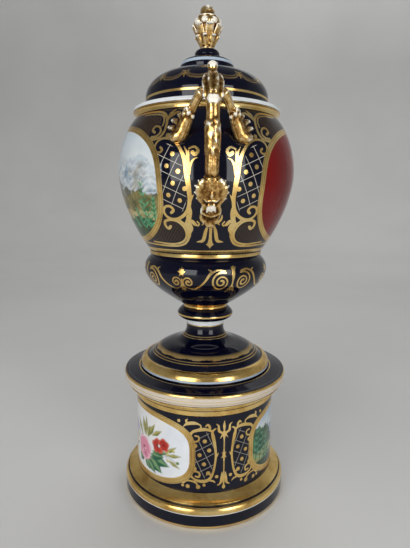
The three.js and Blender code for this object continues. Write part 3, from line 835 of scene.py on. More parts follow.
def alpine_view(x, y):
    """Snowy peaks over wooded slopes and a meadow."""
    haze = (y - 328) / 34 + 0.5 * speckle(x, y, 3, 0.07) - 0.2
    sky = mixed((0.66, 0.70, 0.71), (0.44, 0.54, 0.63), haze)
    peaks = (
        (-82, 322), (-60, 332), (-35, 320), (-8, 336), (14, 322), (34, 333), (52, 326), (66, 331),
        (84, 321),
    )
    peak = ridge(x, peaks, 5, 1.4)
    colours = below(sky, peak, y, (0.52, 0.59, 0.64))
    fall = np.clip((peak - y) / 10, 0, 1) * (y > 300)
    for seed, lean, colour, share in (
        (7, 0.8, (0.20, 0.29, 0.38), 1.0), (9, -0.9, (0.74, 0.77, 0.78), 0.9),
        (10, 0.3, (0.30, 0.27, 0.20), 0.7),
    ):
        stroke = speckle(0.5 * x + lean * y, 1.2 * y - lean * x, seed, 0.22)
        colours = mixed(colours, colour, share * fall * np.clip(stroke * 2.4 - 1.1, 0, 1))
    rock = mixed((0.05, 0.06, 0.05), (0.26, 0.24, 0.18), speckle(x, y, 13, 0.3))
    wood = mixed((0.07, 0.085, 0.025), (0.30, 0.24, 0.09), speckle(x, y, 19, 0.32))
    grass = mixed((0.38, 0.27, 0.08), (0.55, 0.47, 0.24), speckle(x, 2 * y, 29, 0.2))
    shade = mixed((0.012, 0.03, 0.012), (0.06, 0.10, 0.03), speckle(x, y, 37, 0.35))
    crag = ((-84, 330), (-64, 334), (-46, 316), (-20, 306), (8, 320), (24, 312), (38, 303), (84, 296))
    hill = ((-84, 300), (-40, 296), (0, 301), (34, 297), (60, 301), (84, 297))
    meadow = ((-84, 284), (0, 286), (84, 283))
    bank = ((-84, 277), (0, 275), (40, 279), (84, 276))
    layers = (
        (crag, 11, 1.6, rock), (hill, 17, 1.2, wood), (meadow, 23, 0.7, grass), (bank, 31, 1.0, shade)
    )
    return landscape(colours, x, y, layers)


def valley_view(x, y):
    """A pale sky over a far blue range, with trees on the near side and a dark bank."""
    haze = (y - 74) / 22 + 0.6 * speckle(x, y, 41, 0.1) - 0.3
    sky = mixed((0.62, 0.68, 0.70), (0.40, 0.53, 0.66), haze)
    leaves = mixed((0.01, 0.04, 0.02), (0.09, 0.20, 0.10), speckle(x + 0.6 * y, y, 53, 0.3))
    grass = mixed((0.20, 0.25, 0.08), (0.44, 0.40, 0.17), speckle(x, 2 * y, 61, 0.3))
    far = ((-80, 70), (-50, 78), (-20, 71), (12, 80), (44, 70), (80, 74))
    trees = ((-80, 84), (-66, 80), (-48, 74), (-30, 62), (0, 60), (30, 64), (80, 76))
    field = ((-80, 56), (0, 58), (80, 55))
    bank = ((-80, 48), (0, 45), (80, 48))
    layers = (
        (far, 43, 1.2, (0.34, 0.42, 0.50)), (trees, 47, 2.4, leaves), (field, 59, 0.6, grass),
        (bank, 67, 0.9, (0.03, 0.06, 0.025)),
    )
    return landscape(sky, x, y, layers)


def red_ground(x, y):
    wash = 0.5 + 0.3 * ripple(x + 0.4 * y, 71, 0.05)
    return mixed((0.14, 0.0006, 0.0002), (0.20, 0.0018, 0.0006), wash)


def white_ground(x, y):
    wash = 0.5 + 0.3 * ripple(x - 0.5 * y, 73, 0.05)
    return mixed((0.70, 0.73, 0.78), (0.80, 0.80, 0.78), wash)


def paint_leaf(pen, root, tip, width, dark, light):
    """A painted leaf with a paler half and a fine vein."""
    middle = ((root[0] + tip[0]) / 2, (root[1] + tip[1]) / 2)
    pen.tint([root, middle, tip], (0.3, width, 0.2), dark)
    lift = 0.28 * width / pen.degree
    pale_half = [(root[0] - lift, root[1]), (middle[0] - lift, middle[1] + lift), tip]
    pen.tint(pale_half, (0.2, width * 0.45, 0.1), light, soft=1.2, strength=0.8)
    pen.tint([root, tip], 0.1, light, soft=0.9, strength=0.5, smooth=False)


def paint_flower(pen, degrees, height, size, dark, middle, light, petals):
    """A painted flower: a shaded round, petals laid round it and a lit heart."""
    spot = (degrees, height)

    def around(turn, share):
        reach = size * share
        return (degrees + reach * math.cos(turn) / pen.degree, height + reach * math.sin(turn))

    pen.dot_tint(spot, size * 0.92, middle, soft=1.6)
    for k in range(petals):
        turn = 2 * math.pi * (k + 0.3) / petals
        pen.tint([spot, around(turn, 0.72)], (size * 0.2, size * 0.42), middle, soft=1.0)
        edge = [around(turn + a, 0.98) for a in (-0.42, 0, 0.42)]
        pen.tint(edge, (0.3, size * 0.1, 0.3), light, soft=1.4, strength=0.8)
        crease = around(turn + math.pi / petals, 0.85)
        pen.tint([spot, crease], (0.5, 0.25), dark, soft=1.6, strength=0.75)
    pen.dot_tint(spot, size * 0.2, dark, soft=1.5)


GREEN_DARK, GREEN_LIGHT = (0.015, 0.10, 0.05), (0.20, 0.36, 0.16)
OLIVE_DARK, OLIVE_LIGHT = (0.16, 0.17, 0.03), (0.47, 0.42, 0.14)
ROSE = ((0.33, 0.035, 0.09), (0.72, 0.24, 0.36), (0.86, 0.62, 0.66))
POPPY = ((0.14, 0.006, 0.006), (0.44, 0.028, 0.018), (0.72, 0.16, 0.08))
PANSY = ((0.20, 0.11, 0.32), (0.50, 0.42, 0.66), (0.76, 0.72, 0.84))
PRIMROSE = ((0.45, 0.30, 0.05), (0.78, 0.62, 0.22), (0.85, 0.80, 0.58))
DAISY = ((0.5, 0.42, 0.3), (0.78, 0.75, 0.66), (0.86, 0.85, 0.8))
BELLFLOWER = ((0.12, 0.18, 0.4), (0.34, 0.44, 0.68), (0.7, 0.74, 0.84))


def garden_posy(pen):
    """A loose bunch of flowers on a white ground. The pen's middle line is the plinth's own."""
    for root, tip, width in (
        ((-62, 54), (-43, 49), 5.6), ((-64, 52), (-50, 40), 6.0), ((-68, 50), (-64, 37.5), 5.6),
        ((-62, 54), (-48, 57), 4.4), ((-74, 50), (-79, 40), 5.0), ((-60, 58), (-44, 62), 3.2),
        ((-66, 48), (-57, 37), 4.4),
    ):
        paint_leaf(pen, root, tip, width, GREEN_DARK, GREEN_LIGHT)
    for root, tip, width in (
        ((-66, 70), (-57, 86), 3.0), ((-70, 70), (-73, 87), 3.2), ((-66, 72), (-63, 82), 2.6),
        ((-60, 74), (-50, 82), 2.4), ((-74, 68), (-84, 82), 3.0), ((-68, 70), (-68, 90), 2.4),
        ((-82, 60), (-94, 66), 2.6), ((-80, 66), (-90, 77), 2.2), ((-84, 54), (-96, 48), 2.6),
        ((-46, 62), (-37, 70), 1.9), ((-45, 60), (-33, 62), 1.9), ((-44, 56), (-34, 50), 1.9),
    ):
        paint_leaf(pen, root, tip, width, OLIVE_DARK, OLIVE_LIGHT)
    for tip in ((-39, 66), (-44, 62), (-36, 55), (-44, 55)):
        pen.tint([(-55, 60), (-48, 60), tip], (0.25, 0.2), OLIVE_DARK, soft=0.8)
        pen.dot_tint(tip, 1.5, OLIVE_LIGHT)
        pen.dot_tint((tip[0] + 0.6, tip[1] + 1), 0.8, (0.75, 0.72, 0.5))
    pen.dot_tint((-35.5, 55), 1.4, (0.05, 0.16, 0.06))
    for degrees, height, size, petals, shades in (
        (-72, 56, 11.2, 7, ROSE), (-70, 50.5, 5.2, 5, ROSE), (-54, 66, 6.8, 5, POPPY),
        (-48, 69, 5.8, 5, POPPY), (-88, 70, 6.0, 6, PANSY), (-92, 56, 5.6, 6, PRIMROSE),
    ):
        paint_flower(pen, degrees, height, size, *shades, petals=petals)
    pen.dot_tint((-52.5, 66.5), 1.4, (0.7, 0.7, 0.66))


def panel_posy(pen):
    """A full bunch of flowers on the red panel, about the pen's middle line."""
    rng = np.random.default_rng(83)
    leaves = 22
    for k in range(leaves):
        turn = 2 * math.pi * k / leaves
        reach = rng.uniform(0.8, 1.1)
        tip = (21 * reach * math.cos(turn), 303 + 27 * reach * math.sin(turn))
        root = (9 * math.cos(turn), 303 + 12 * math.sin(turn))
        shades = (GREEN_DARK, GREEN_LIGHT) if k % 3 else (OLIVE_DARK, OLIVE_LIGHT)
        paint_leaf(pen, root, tip, 3.4, *shades)
    for degrees, height, size, shades in (
        (-8, 318, 7.5, PRIMROSE), (8, 320, 7.0, PANSY), (12, 303, 8.0, ROSE), (-12, 300, 8.5, DAISY),
        (0, 305, 10.5, ROSE), (-4, 287, 7.2, BELLFLOWER), (8, 288, 6.2, DAISY),
    ):
        paint_flower(pen, degrees, height, size, *shades, petals=7)


def ferns(pen, dark, light, *fronds):
    """Fronds with paired leaflets that shorten towards the tip. Each has a root, a tip and a length."""
    count = 9
    for root, tip, length in fronds:
        for k in range(1, count + 1):
            share = k / (count + 1)
            x = root[0] + (tip[0] - root[0]) * share
            y = root[1] + (tip[1] - root[1]) * share
            reach = length * (1 - 0.75 * share)
            for side in (-1, 1):
                end = (x + side * reach / pen.degree, y + 0.35 * reach + 1.2)
                pen.tint([(x, y), end], (0.7, 0.25), light if k % 2 else dark, soft=0.9)
        pen.tint([root, tip], (0.5, 0.2), dark, smooth=False)


def valley_ferns(pen):
    """Ferns on the near side of the valley."""
    ferns(
        pen, (0.015, 0.10, 0.05), (0.10, 0.34, 0.20),
        ((-60, 50), (-58, 80), 6), ((-55, 46), (-52, 76), 7), ((-49, 44), (-45, 68), 6),
        ((-43, 43), (-40, 58), 5), ((54, 46), (52, 66), 5), ((58, 50), (59, 74), 5.5),
    )


def near_bank(pen):
    """Snowy firs on the slope, and ferns and grasses in front of the alpine view."""
    ferns(
        pen, (0.40, 0.47, 0.52), (0.68, 0.71, 0.71),
        ((20, 300), (29, 327), 8), ((33, 299), (39, 330), 8), ((45, 298), (51, 326), 8),
        ((56, 300), (60, 322), 6), ((6, 302), (12, 322), 7), ((-24, 302), (-14, 331), 8),
        ((-44, 300), (-36, 322), 7),
    )
    ferns(
        pen, (0.02, 0.16, 0.07), (0.12, 0.44, 0.22),
        ((44, 268), (41, 294), 7.5), ((46, 268), (44, 310), 9.5), ((38, 268), (33, 286), 6.5),
        ((50, 276), (53, 296), 5.0), ((28, 268), (26, 280), 4.5), ((18, 266), (16, 279), 4.5),
        ((-30, 268), (-34, 284), 5.5), ((-20, 266), (-22, 279), 5), ((-42, 270), (-45, 292), 6.5),
    )


# Modelled ornament: limbs, leaves and lumps that are fused into one skin


def spline(points, samples):
    """A smooth curve through the points, and how far along it each sample lies, as a share."""
    points = np.array(points, float)
    chord = np.r_[0, np.cumsum(np.linalg.norm(np.diff(points, axis=0), axis=1) ** 0.5)]
    slope = np.gradient(points, chord, axis=0)
    fine = np.linspace(0, chord[-1], 400)
    k = np.clip(np.searchsorted(chord, fine, "right") - 1, 0, len(chord) - 2)
    width = (chord[k + 1] - chord[k])[:, None]
    u = ((fine - chord[k])[:, None]) / width
    curve = (
        (2 * u**3 - 3 * u**2 + 1) * points[k]
        + (u**3 - 2 * u**2 + u) * width * slope[k]
        + (3 * u**2 - 2 * u**3) * points[k + 1]
        + (u**3 - u**2) * width * slope[k + 1]
    )
    length = np.r_[0, np.cumsum(np.linalg.norm(np.diff(curve, axis=0), axis=1))]
    share = np.linspace(0, 1, samples)
    axes = range(points.shape[1])
    even = np.stack([np.interp(share * length[-1], length, curve[:, a]) for a in axes], -1)
    return even, share


def half_sizes(size, share):
    """Half sizes along a limb, from one number, some spread evenly, or pairs of a share and a size."""
    size = np.atleast_1d(np.array(size, float))
    shares, sizes = size.T if size.ndim == 2 else (np.linspace(0, 1, len(size)), size)
    return np.interp(share, shares, sizes)


class Clay:
    """Collects closed forms, then fuses them into one smooth skin."""

    def __init__(self):
        self.points = []
        self.faces = []
        self.pale = []

    def add(self, points, faces):
        offset = sum(len(p) for p in self.points)
        self.points.append(np.asarray(points, float))
        self.faces += [[index + offset for index in face] for face in faces]

    def limb(self, route, width, depth, across=(1, 0, 0), sides=16, samples=40):
        """A closed limb along a route. width and depth are its half sizes, in mm."""
        centre, share = spline(route, samples)
        along = np.gradient(centre, axis=0)
        along /= np.linalg.norm(along, axis=1)[:, None]
        outward = np.cross(np.array(across, float), along)
        outward /= np.linalg.norm(outward, axis=1)[:, None]
        side = np.cross(along, outward)
        ends = np.maximum(np.sqrt(np.clip(1 - (2 * share - 1) ** 24, 0.0, 1)), 0.05)
        wide, deep = half_sizes(width, share) * ends, half_sizes(depth, share) * ends
        turn = np.linspace(0, 2 * math.pi, sides, endpoint=False)
        ring = (
            centre[:, None, :]
            + side[:, None, :] * (wide[:, None] * np.cos(turn))[..., None]
            + outward[:, None, :] * (deep[:, None] * np.sin(turn))[..., None]
        )
        self.add(ring.reshape(-1, 3), grid_faces(samples, sides))

    def lump(self, centre, sizes, direction=(0, 0, 1), across=(1, 0, 0)):
        """An egg-shaped lump of three half sizes, the middle one along a direction."""
        rings = sides = 16
        up = Vector(direction).normalized()
        wide = Vector(across)
        wide = (wide - up * wide.dot(up)).normalized()
        axes = np.array([wide, up, up.cross(wide)], float) * np.array(sizes)[:, None]
        polar = math.pi * (np.arange(rings) + 0.5)[:, None, None] / rings
        turn = 2 * math.pi * np.arange(sides)[:, None] / sides
        ring = axes[0] * np.cos(turn) + axes[2] * np.sin(turn)
        points = np.array(centre, float) - axes[1] * np.cos(polar) + ring * np.sin(polar)
        self.add(points.reshape(-1, 3), grid_faces(rings, sides))

    def paint_highlight_and_wear(self, spot, radius, strength):
        """Notes a pale place on the gilding: a painted highlight, partly standing for gold rubbed
        through to the white glaze.
        """
        self.pale.append((np.array(spot, float), radius, strength))

    def fuse(self, name, voxel):
        """Joins the forms by voxels of a size in mm, and rounds off the steps that they leave."""
        thing = mesh_object(name, np.vstack(self.points), self.faces)
        modifier = thing.modifiers.new("skin", "REMESH")
        modifier.mode = "VOXEL"
        modifier.voxel_size = voxel * MM
        graph = bpy.context.evaluated_depsgraph_get()
        mesh = bpy.data.meshes.new_from_object(thing.evaluated_get(graph))
        thing.modifiers.clear()
        thing.data = mesh
        points = relaxed(mesh, vertex_vectors(mesh, "co"), 4, 0.5)
        mesh.vertices.foreach_set("co", points.ravel())
        mesh.update()
        mesh.shade_smooth()
        return thing


def neighbours_mean(mesh, values):
    edges = np.zeros(len(mesh.edges) * 2, np.int64)
    mesh.edges.foreach_get("vertices", edges)
    a, b = edges[0::2], edges[1::2]
    count = np.bincount(edges, minlength=len(values)).astype(float)
    total = np.zeros_like(values)
    for k in range(values.shape[1]):
        total[:, k] = np.bincount(a, values[b, k], len(values))
        total[:, k] += np.bincount(b, values[a, k], len(values))
    return total / np.maximum(count, 1)[:, None]


def vertex_vectors(mesh, field):
    vectors = np.zeros(len(mesh.vertices) * 3)
    mesh.vertices.foreach_get(field, vectors)
    return vectors.reshape(-1, 3)


def relaxed(mesh, points, rounds, strength):
    """The points after some rounds of moving each towards the mean of its neighbours."""
    for _ in range(rounds):
        points = points + (neighbours_mean(mesh, points) - points) * strength
    return points


def mark_relief_and_highlights(thing, clay, rounds):
    """Stores how far each point stands out from its surroundings, in tenths of a mm, raised further at
    the pale spots of painted highlight.
    """
    mesh = thing.data
    points = vertex_vectors(mesh, "co")
    height = points - relaxed(mesh, points, rounds, 0.7)
    relief = np.sum(height * vertex_vectors(mesh, "normal"), axis=1) / MM * 10
    # The pale spots add painted highlights, partly wear, to the relief.
    for spot, radius, strength in clay.pale:
        near = np.linalg.norm(points / MM - spot, axis=1) / radius
        relief += strength * np.exp(-(near**2))
    store_layer(mesh, "relief", "FLOAT", "value", relief)


class Guide:
    """A route with a frame along it, for placing leaves and ribs on a limb's surface."""

    def __init__(self, route, radius):
        self.line, self.share = spline(route, 200)
        self.radius = radius
        along = np.gradient(self.line, axis=0)
        self.along = along / np.linalg.norm(along, axis=1)[:, None]
        outward = np.cross(np.array((1.0, 0, 0)), self.along)
        self.outward = outward / np.linalg.norm(outward, axis=1)[:, None]
        self.side = np.cross(self.along, self.outward)

    def read(self, values, share):
        return np.array([np.interp(share, self.share, values[:, k]) for k in range(3)])

    def spot(self, share, turn=0, lift=0):
        """A place on the surface: turn is 0 in front, in degrees, and lift is off the surface."""
        a = math.radians(turn)
        out = self.read(self.side, share) * math.sin(a) + self.read(self.outward, share) * math.cos(a)
        return self.read(self.line, share) + out * (self.radius + lift)

    def centre(self, share):
        return self.read(self.line, share)

    def heading(self, share):
        return self.read(self.along, share)

    def route(self, *places):
        return [self.spot(*place) for place in places]


def handle_cup(clay, stem):
    """The leafy cup that the stem rises from, down to its lobed tip."""
    heights, depths = stem.line[:, 2], stem.line[:, 1]

    def at(x, z, out):
        """A place at a height, so far in front of the stem's middle."""
        return np.array((x, np.interp(z, heights, depths) - out, z))

    def row(*places, side=1):
        return [at(side * x, z, out) for x, z, out in places]

    # The pale spots here, on spike tips, lobes and rim corners, are painted highlights on the gilding,
    # partly wear.
    clay.lump(stem.centre(0.352), (6.6, 1.3, 6.2), direction=stem.heading(0.352))
    for side in (-1, 1):
        web = row((4.6, 309, 4.4), (7.6, 304, 4.6), (8.4, 298, 4.8), (7.4, 292, 4.6), side=side)
        clay.limb(web, (2.6, 4.4, 2.4), (2.0, 2.6, 2.0))
        for x, z, rise in (
            (10.8, 308.6, 3.4), (13.6, 304.8, 2.2), (13.9, 299.4, 0.9), (12.2, 294.6, -0.2),
        ):
            root, over = (5.2, z - 5.5 - rise * 0.5, 5.6), (x * 0.78, z - rise, 5.8)
            spike = row(root, over, (x, z, 3.4), side=side)
            clay.limb(spike, (1.6, 1.9, 0.5), (1.0, 1.3, 0.7), samples=24)
            clay.paint_highlight_and_wear(spike[-1] + (0, -1, 0), 1.6, 3)
        rib = row((3.1, 308.5, 5.9), (4.6, 301, 7.0), (6.6, 293.5, 6.4), side=side)
        clay.limb(rib, (0.6, 1.0, 0.8), 0.8, samples=24)
        clay.limb(row((5.2, 291, 6), (6.9, 285, 5.4), (5.6, 279, 4.6), side=side), 1.6, 1.6)
        clay.paint_highlight_and_wear(at(side * 6.8, 295, 7), 1.4, 5)
    leaf = row((0, 308.8, 5.6), (0, 303, 6.6), (0, 297.5, 7.4), (0, 293.6, 8.4))
    clay.limb(leaf, (3.2, 4.6, 6.2), (1.2, 1.4, 1.2), samples=30)
    clay.limb(row((0, 300, 8.2), (0, 296.5, 9.2), (0, 294, 9.6)), (0.5, 1.3, 1.0), 0.9, samples=20)
    ledge = (
        (-6.2, 294.4, 7.4), (-3.4, 292.4, 8.8), (0, 292.9, 9.6), (3.4, 292.4, 8.8), (6.2, 294.4, 7.4),
    )
    clay.limb(row(*ledge), 0.9, 1.0)
    clay.lump(at(0, 288.8, 7.4), (3.0, 3.0, 1.8))
    for turn in (-1, 0, 1):
        lobe = row((turn * 1.5, 290.5, 8.4), (turn * 2.4, 286.5, 8.7), (turn * 3.8, 283.4, 8.2))
        clay.limb(lobe, (1.3, 1.3, 0.5), 1.0, samples=20)
        clay.paint_highlight_and_wear(at(turn * 2.6, 286.4, 9.4), 2.4, 9)
    rim = (
        (-6.9, 283.8, 5.8), (-3.4, 281.4, 8.2), (0, 280.6, 9.0), (3.4, 281.4, 8.2), (6.9, 283.8, 5.8),
    )
    clay.limb(row(*rim), 1.0, 1.2)
    for side in (-1, 1):
        clay.paint_highlight_and_wear(at(side * 6.6, 283.4, 6.5), 1.3, 4)
        clay.lump(at(side * 3.6, 278.6, 4.4), (3.0, 4.0, 2.6), direction=(-side * 0.4, -0.2, 1))
    clay.lump(at(0, 278, 5.2), (3.0, 4.6, 2.8), direction=(0, -0.3, 1))


def handle_stem(clay, stem):
    """The upright stem: flutes, bark, a smooth stretch, a block and wrapped leaves, with painted
    highlights on bark, block and leaves.
    """
    flutes, knots = 12, 30
    for k in range(flutes):
        turn = 360 / flutes * k
        flute = stem.route((0.37, turn, -1.1), (0.43, turn, -0.9), (0.5, turn, -1.0))
        clay.limb(flute, 1.15, 1.0, sides=10)
    rng = np.random.default_rng(7)
    for k in range(knots):
        share = 0.5 + 0.175 * k / knots
        spot = stem.spot(share, 137.5 * k, -0.4)
        sizes = (rng.uniform(1.1, 1.9), rng.uniform(2.0, 3.4), rng.uniform(1.0, 1.5))
        clay.lump(spot, sizes, direction=stem.heading(share) + rng.normal(0, 0.2, 3))
    # Pale spots on the bark: painted highlights, partly wear.
    for share, turn, radius in (
        (0.655, -48, 2.2), (0.63, 50, 2.4), (0.6, -12, 1.5), (0.57, 20, 1.3), (0.53, 4, 1.1),
    ):
        clay.paint_highlight_and_wear(stem.spot(share, turn, 0.6), radius, 7)
    # The block's pale spots are a painted highlight.
    block = stem.heading(0.79)
    clay.lump(stem.centre(0.79), (5.7, 3.2, 5.5), direction=block)
    for turn in (-24, 24):
        clay.lump(stem.spot(0.785, turn, -1.0), (2.3, 3.6, 1.6), direction=block)
        clay.paint_highlight_and_wear(stem.spot(0.787, turn, 0.4), 3.2, 13)
    for side in (-1, 1):
        outer = ((0.985, 58, 0.0), (0.94, 64, 0.8), (0.88, 66, 1.1), (0.83, 72, 0.8), (0.80, 82, 1.8))
        inner = ((0.98, 22, 0.1), (0.92, 24, 0.9), (0.86, 22, 0.9), (0.82, 16, 0.3))
        for leaf, width, depth in (
            (outer, (1.3, 2.6, 1.4), (1.0, 1.4, 1.0)), (inner, (1.0, 1.7, 1.0), 0.8),
        ):
            leaf = [stem.spot(share, side * turn, lift) for share, turn, lift in leaf]
            clay.limb(leaf, width, depth)
        # Pale spots on the leaves: painted highlights.
        for share, turn in ((0.93, 66), (0.89, 40), (0.86, 76), (0.81, 84)):
            clay.paint_highlight_and_wear(stem.spot(share, turn * side, 2.0), 1.8, 6)


def handle_strut(clay, side):
    """A side branch: scrolled foot on the shoulder, curled lobes, bud, smooth stretch and knuckle."""
    places = (
        (31.5, 74.4, 345.2), (28.6, 76.6, 342.6), (25.0, 78.4, 342.6), (22.6, 79.6, 346.2),
        (20.4, 81.6, 351.2), (16.6, 85.6, 358), (10.8, 93.6, 368.8), (4.5, 98, 376.5),
    )
    branch = Guide([np.array((side * x, -out, z)) for x, out, z in places], 3.6)
    width = np.array((
        (0, 4.2), (0.1, 5.2), (0.22, 5.5), (0.34, 5.4), (0.48, 4.5), (0.6, 3.6), (0.82, 3.5),
        (0.88, 4.1), (1, 3),
    ))
    clay.limb(branch.line[::12], width, width * (1, 0.85), samples=80, sides=24)
    # The pale spots on the curled lobes and the bud below are painted highlights on the gilding, partly
    # wear.
    tips = ((32.6, 72.6, 350.4, 2.9), (29.6, 74.2, 355.6, 3.1), (24.8, 77.6, 359.0, 2.4))
    for k, (x, out, z, size) in enumerate(tips):
        root = branch.spot(0.24 + 0.09 * k, 0, -2.4)
        tip = np.array((side * x, -out, z))
        over = root * 0.4 + tip * 0.6 + (0, -1.2, 0.6)
        clay.limb([root, over, tip], (3.2, 3.4, size), (2.2, 2.2, 1.5), samples=24)
        clay.lump(tip + (-side * 0.8, -1.0, -0.8), (size * 0.8, size * 0.7, 1.5))
        clay.paint_highlight_and_wear(tip + (side * 0.8, -1.2, 1.2), size * 0.5, 5)
    seam = [branch.spot(share, -38 * side, 0.2) for share in (0.06, 0.16, 0.3, 0.42, 0.54)]
    clay.limb(seam, (0.7, 0.9, 0.5), 0.7, samples=30)
    for share, turn, size in (
        (0.5, -78, 2.3), (0.545, -96, 2.5), (0.59, -70, 2.0), (0.555, -30, 1.9), (0.53, 30, 1.7),
    ):
        spot = branch.spot(share, -turn * side, 0.3)
        clay.lump(spot, (size, size * 1.2, size * 0.9), direction=branch.heading(share))
        clay.paint_highlight_and_wear(spot + (0.5, -1.4, 0.4), size * 0.6, 5)
    clay.lump(branch.centre(0.87), (4.3, 2.4, 4.0), direction=branch.heading(0.87))


def handle_clay():
    """The front handle, in mm: x to the side, y towards the viewer negative, z up."""
    clay = Clay()
    seat, reach, foot, crown = 73.4, 105.6, 275.5, 384.5

    def place(out_share, up_share):
        return (0.0, -(seat + (reach - seat) * out_share), foot + (crown - foot) * up_share)

    route = [
        place(0, 0), place(0.34, 0.1), place(0.56, 0.2), place(0.74, 0.31), place(0.9, 0.48),
        place(1, 0.67), place(0.96, 0.83), place(0.78, 0.94), place(0.5, 1),
    ]
    stem = Guide(route, 5.3)
    width = np.array((
        (0, 4.6), (0.06, 6.2), (0.13, 7.6), (0.22, 7.6), (0.28, 6.6), (0.34, 5.2), (0.37, 4.9),
        (0.48, 5.2), (0.53, 6.2), (0.6, 6.3), (0.655, 5.6), (0.69, 5.0), (0.77, 5.0), (0.815, 5.8),
        (0.85, 6.7), (0.93, 6.6), (0.97, 5.6), (1, 4.6),
    ))
    clay.limb(route, width, width * (1, 0.92), samples=110, sides=24)
    clay.limb([place(0.62, 0.96), place(0.585, 1.0), place(0.56, 1.04)], 3.7, 3.7, samples=16)
    clay.lump(place(0.56, 1.065), (4.1, 3.9, 4.1))
    # Pale spots on the top knob: painted highlights on the gilding.
    clay.paint_highlight_and_wear(place(0.66, 1.08), 2.6, 9)
    clay.paint_highlight_and_wear(place(0.74, 1.01), 2.2, 9)
    clay.lump(place(0.16, 0.02), (5.6, 7.0, 4.6))
    handle_cup(clay, stem)
    handle_stem(clay, stem)
    for side in (-1, 1):
        handle_strut(clay, side)
    return clay


def off_axis(degrees, radius=1.0, height=0.0):
    """A place so far from the axis, turned from the front."""
    a = math.radians(degrees)
    return np.array((radius * math.sin(a), -radius * math.cos(a), height))


def finial_clay():
    """A gilt bud over a cup of eight leaves, in mm."""
    clay = Clay()
    body = np.array((
        (0, 7.4), (0.05, 7.0), (0.09, 5.4), (0.18, 5.6), (0.28, 6.6), (0.43, 9.0), (0.53, 11.2),
        (0.62, 11.8), (0.69, 10.6), (0.73, 9.0), (0.78, 7.0), (0.82, 6.6), (0.89, 6.3), (0.95, 5.2),
        (1, 3.0),
    ))
    axis = [(0, 0, FINIAL_BOTTOM + (TOP - FINIAL_BOTTOM) * share) for share in (-0.02, 0.3, 0.6, 0.98)]
    clay.limb(axis, body, body, samples=70, sides=32)
    tall = ((5.6, 433.6), (7.6, 439.5), (10.9, 446), (13.6, 450.6), (15.0, 449.6))
    short = ((5.4, 432.8), (7.8, 437.5), (10.8, 441.8), (12.2, 441.0))
    # The pale spots below are painted highlights on leaf tips, lobes, ring and bud, partly wear; the
    # broad last one lightens the whole finial.
    for k in range(8):
        middle = 45 * k + 8
        gap = middle + 22.5
        for turn, places, width, depth, pale in (
            (middle, tall, (1.7, 3.9, 3.6), 1.2, 2.8), (gap, short, (1.1, 2.5, 2.2), 1.0, 1.8),
        ):
            leaf = [off_axis(turn, radius, height) for radius, height in places]
            clay.limb(leaf, width, depth, across=off_axis(turn + 90), samples=30)
            clay.paint_highlight_and_wear(leaf[-1] + off_axis(turn, 0.6), pale, 8)
        for side in (-90, 90):
            rib = [
                off_axis(middle, radius, height) + off_axis(middle + side, spread)
                for radius, spread, height in ((6.4, 1.3, 434.5), (8.6, 2.8, 441.5), (12.0, 3.0, 449))
            ]
            clay.limb(rib, 0.55, 0.7, samples=20)
        clay.lump(off_axis(gap, 9.6, 454.0), (4.1, 3.7, 3.6), across=off_axis(gap + 90))
        clay.paint_highlight_and_wear(off_axis(gap, 12.672, 455.0), 2.6, 7)
    clay.lump((0, 0, 459.2), (10.2, 1.2, 10.2))
    for k in range(8):
        clay.paint_highlight_and_wear(off_axis(45 * k + 20, 9.8, 459.4), 2.4, 6)
    for k in range(4):
        clay.lump(off_axis(90 * k + 8, 2.5, 464.2), (4.2, 5.0, 4.2))
        clay.paint_highlight_and_wear(off_axis(90 * k + 8, 3.8, 467.4), 2.4, 9)
    clay.paint_highlight_and_wear((0, 0, 448), 24, 3.2)
    return clay


def turned_copy(thing, name):
    copy = thing.copy()
    copy.data = thing.data.copy()
    copy.name = name
    copy.data.transform(Matrix.Rotation(math.pi, 4, "Z"))
    bpy.context.scene.collection.objects.link(copy)
    return copy


# Materials


COBALT = (0.0014, 0.0018, 0.0105)
CREAM = (0.62, 0.55, 0.46)
WHITE = (0.76, 0.79, 0.80)
PALE_BLUE = (0.42, 0.50, 0.60)


def new_material(name):
    material = bpy.data.materials.new(name)
    material.use_nodes = True
    return material, material.node_tree, material.node_tree.nodes["Principled BSDF"]


def feed(tree, node, inputs):
    """Sets a node's inputs to numbers or colours, or links them to other nodes' outputs."""
    for name, value in inputs.items():
        if isinstance(value, (int, float)):
            node.inputs[name].default_value = value
        elif isinstance(value, tuple):
            node.inputs[name].default_value = (*value, 1)
        else:
            tree.links.new(value, node.inputs[name])


def add_node(tree, kind, inputs, output=0, **settings):
    node = tree.nodes.new("ShaderNode" + kind)
    for name, value in settings.items():
        setattr(node, name, value)
    feed(tree, node, inputs)
    return node.outputs[output]


def attribute(tree, name, output="Fac"):
    return add_node(tree, "Attribute", {}, output, attribute_name=name)


def noise(tree, scale, detail=3, roughness=0.55):
    place = add_node(tree, "TexCoord", {}, "Object")
    inputs = {"Vector": place, "Scale": scale, "Detail": detail, "Roughness": roughness}
    return add_node(tree, "TexNoise", inputs, "Fac")


def spread(tree, value, low, high, start, end):
    """Maps a value from one range onto another."""
    inputs = {"Value": value, "From Min": low, "From Max": high, "To Min": start, "To Max": end}
    return add_node(tree, "MapRange", inputs, "Result")


def calculate(tree, operation, first, second, clamp=True):
    return add_node(tree, "Math", {0: first, 1: second}, operation=operation, use_clamp=clamp)


def ramp(tree, value, *stops):
    node = tree.nodes.new("ShaderNodeValToRGB")
    elements = node.color_ramp.elements
    while len(elements) < len(stops):
        elements.new(0.5)
    for element, (place, colour) in zip(elements, stops):
        element.position = place
        element.color = (*colour, 1)
    tree.links.new(value, node.inputs["Fac"])
    return node.outputs["Color"]


def blend_colours(tree, share, first, second, blend="MIX"):
    inputs = {0: share, 6: first, 7: second}
    return add_node(tree, "Mix", inputs, 2, data_type="RGBA", blend_type=blend)


def roughen(tree, height, strength, distance):
    inputs = {"Height": height, "Strength": strength, "Distance": distance}
    return add_node(tree, "Bump", inputs, "Normal")


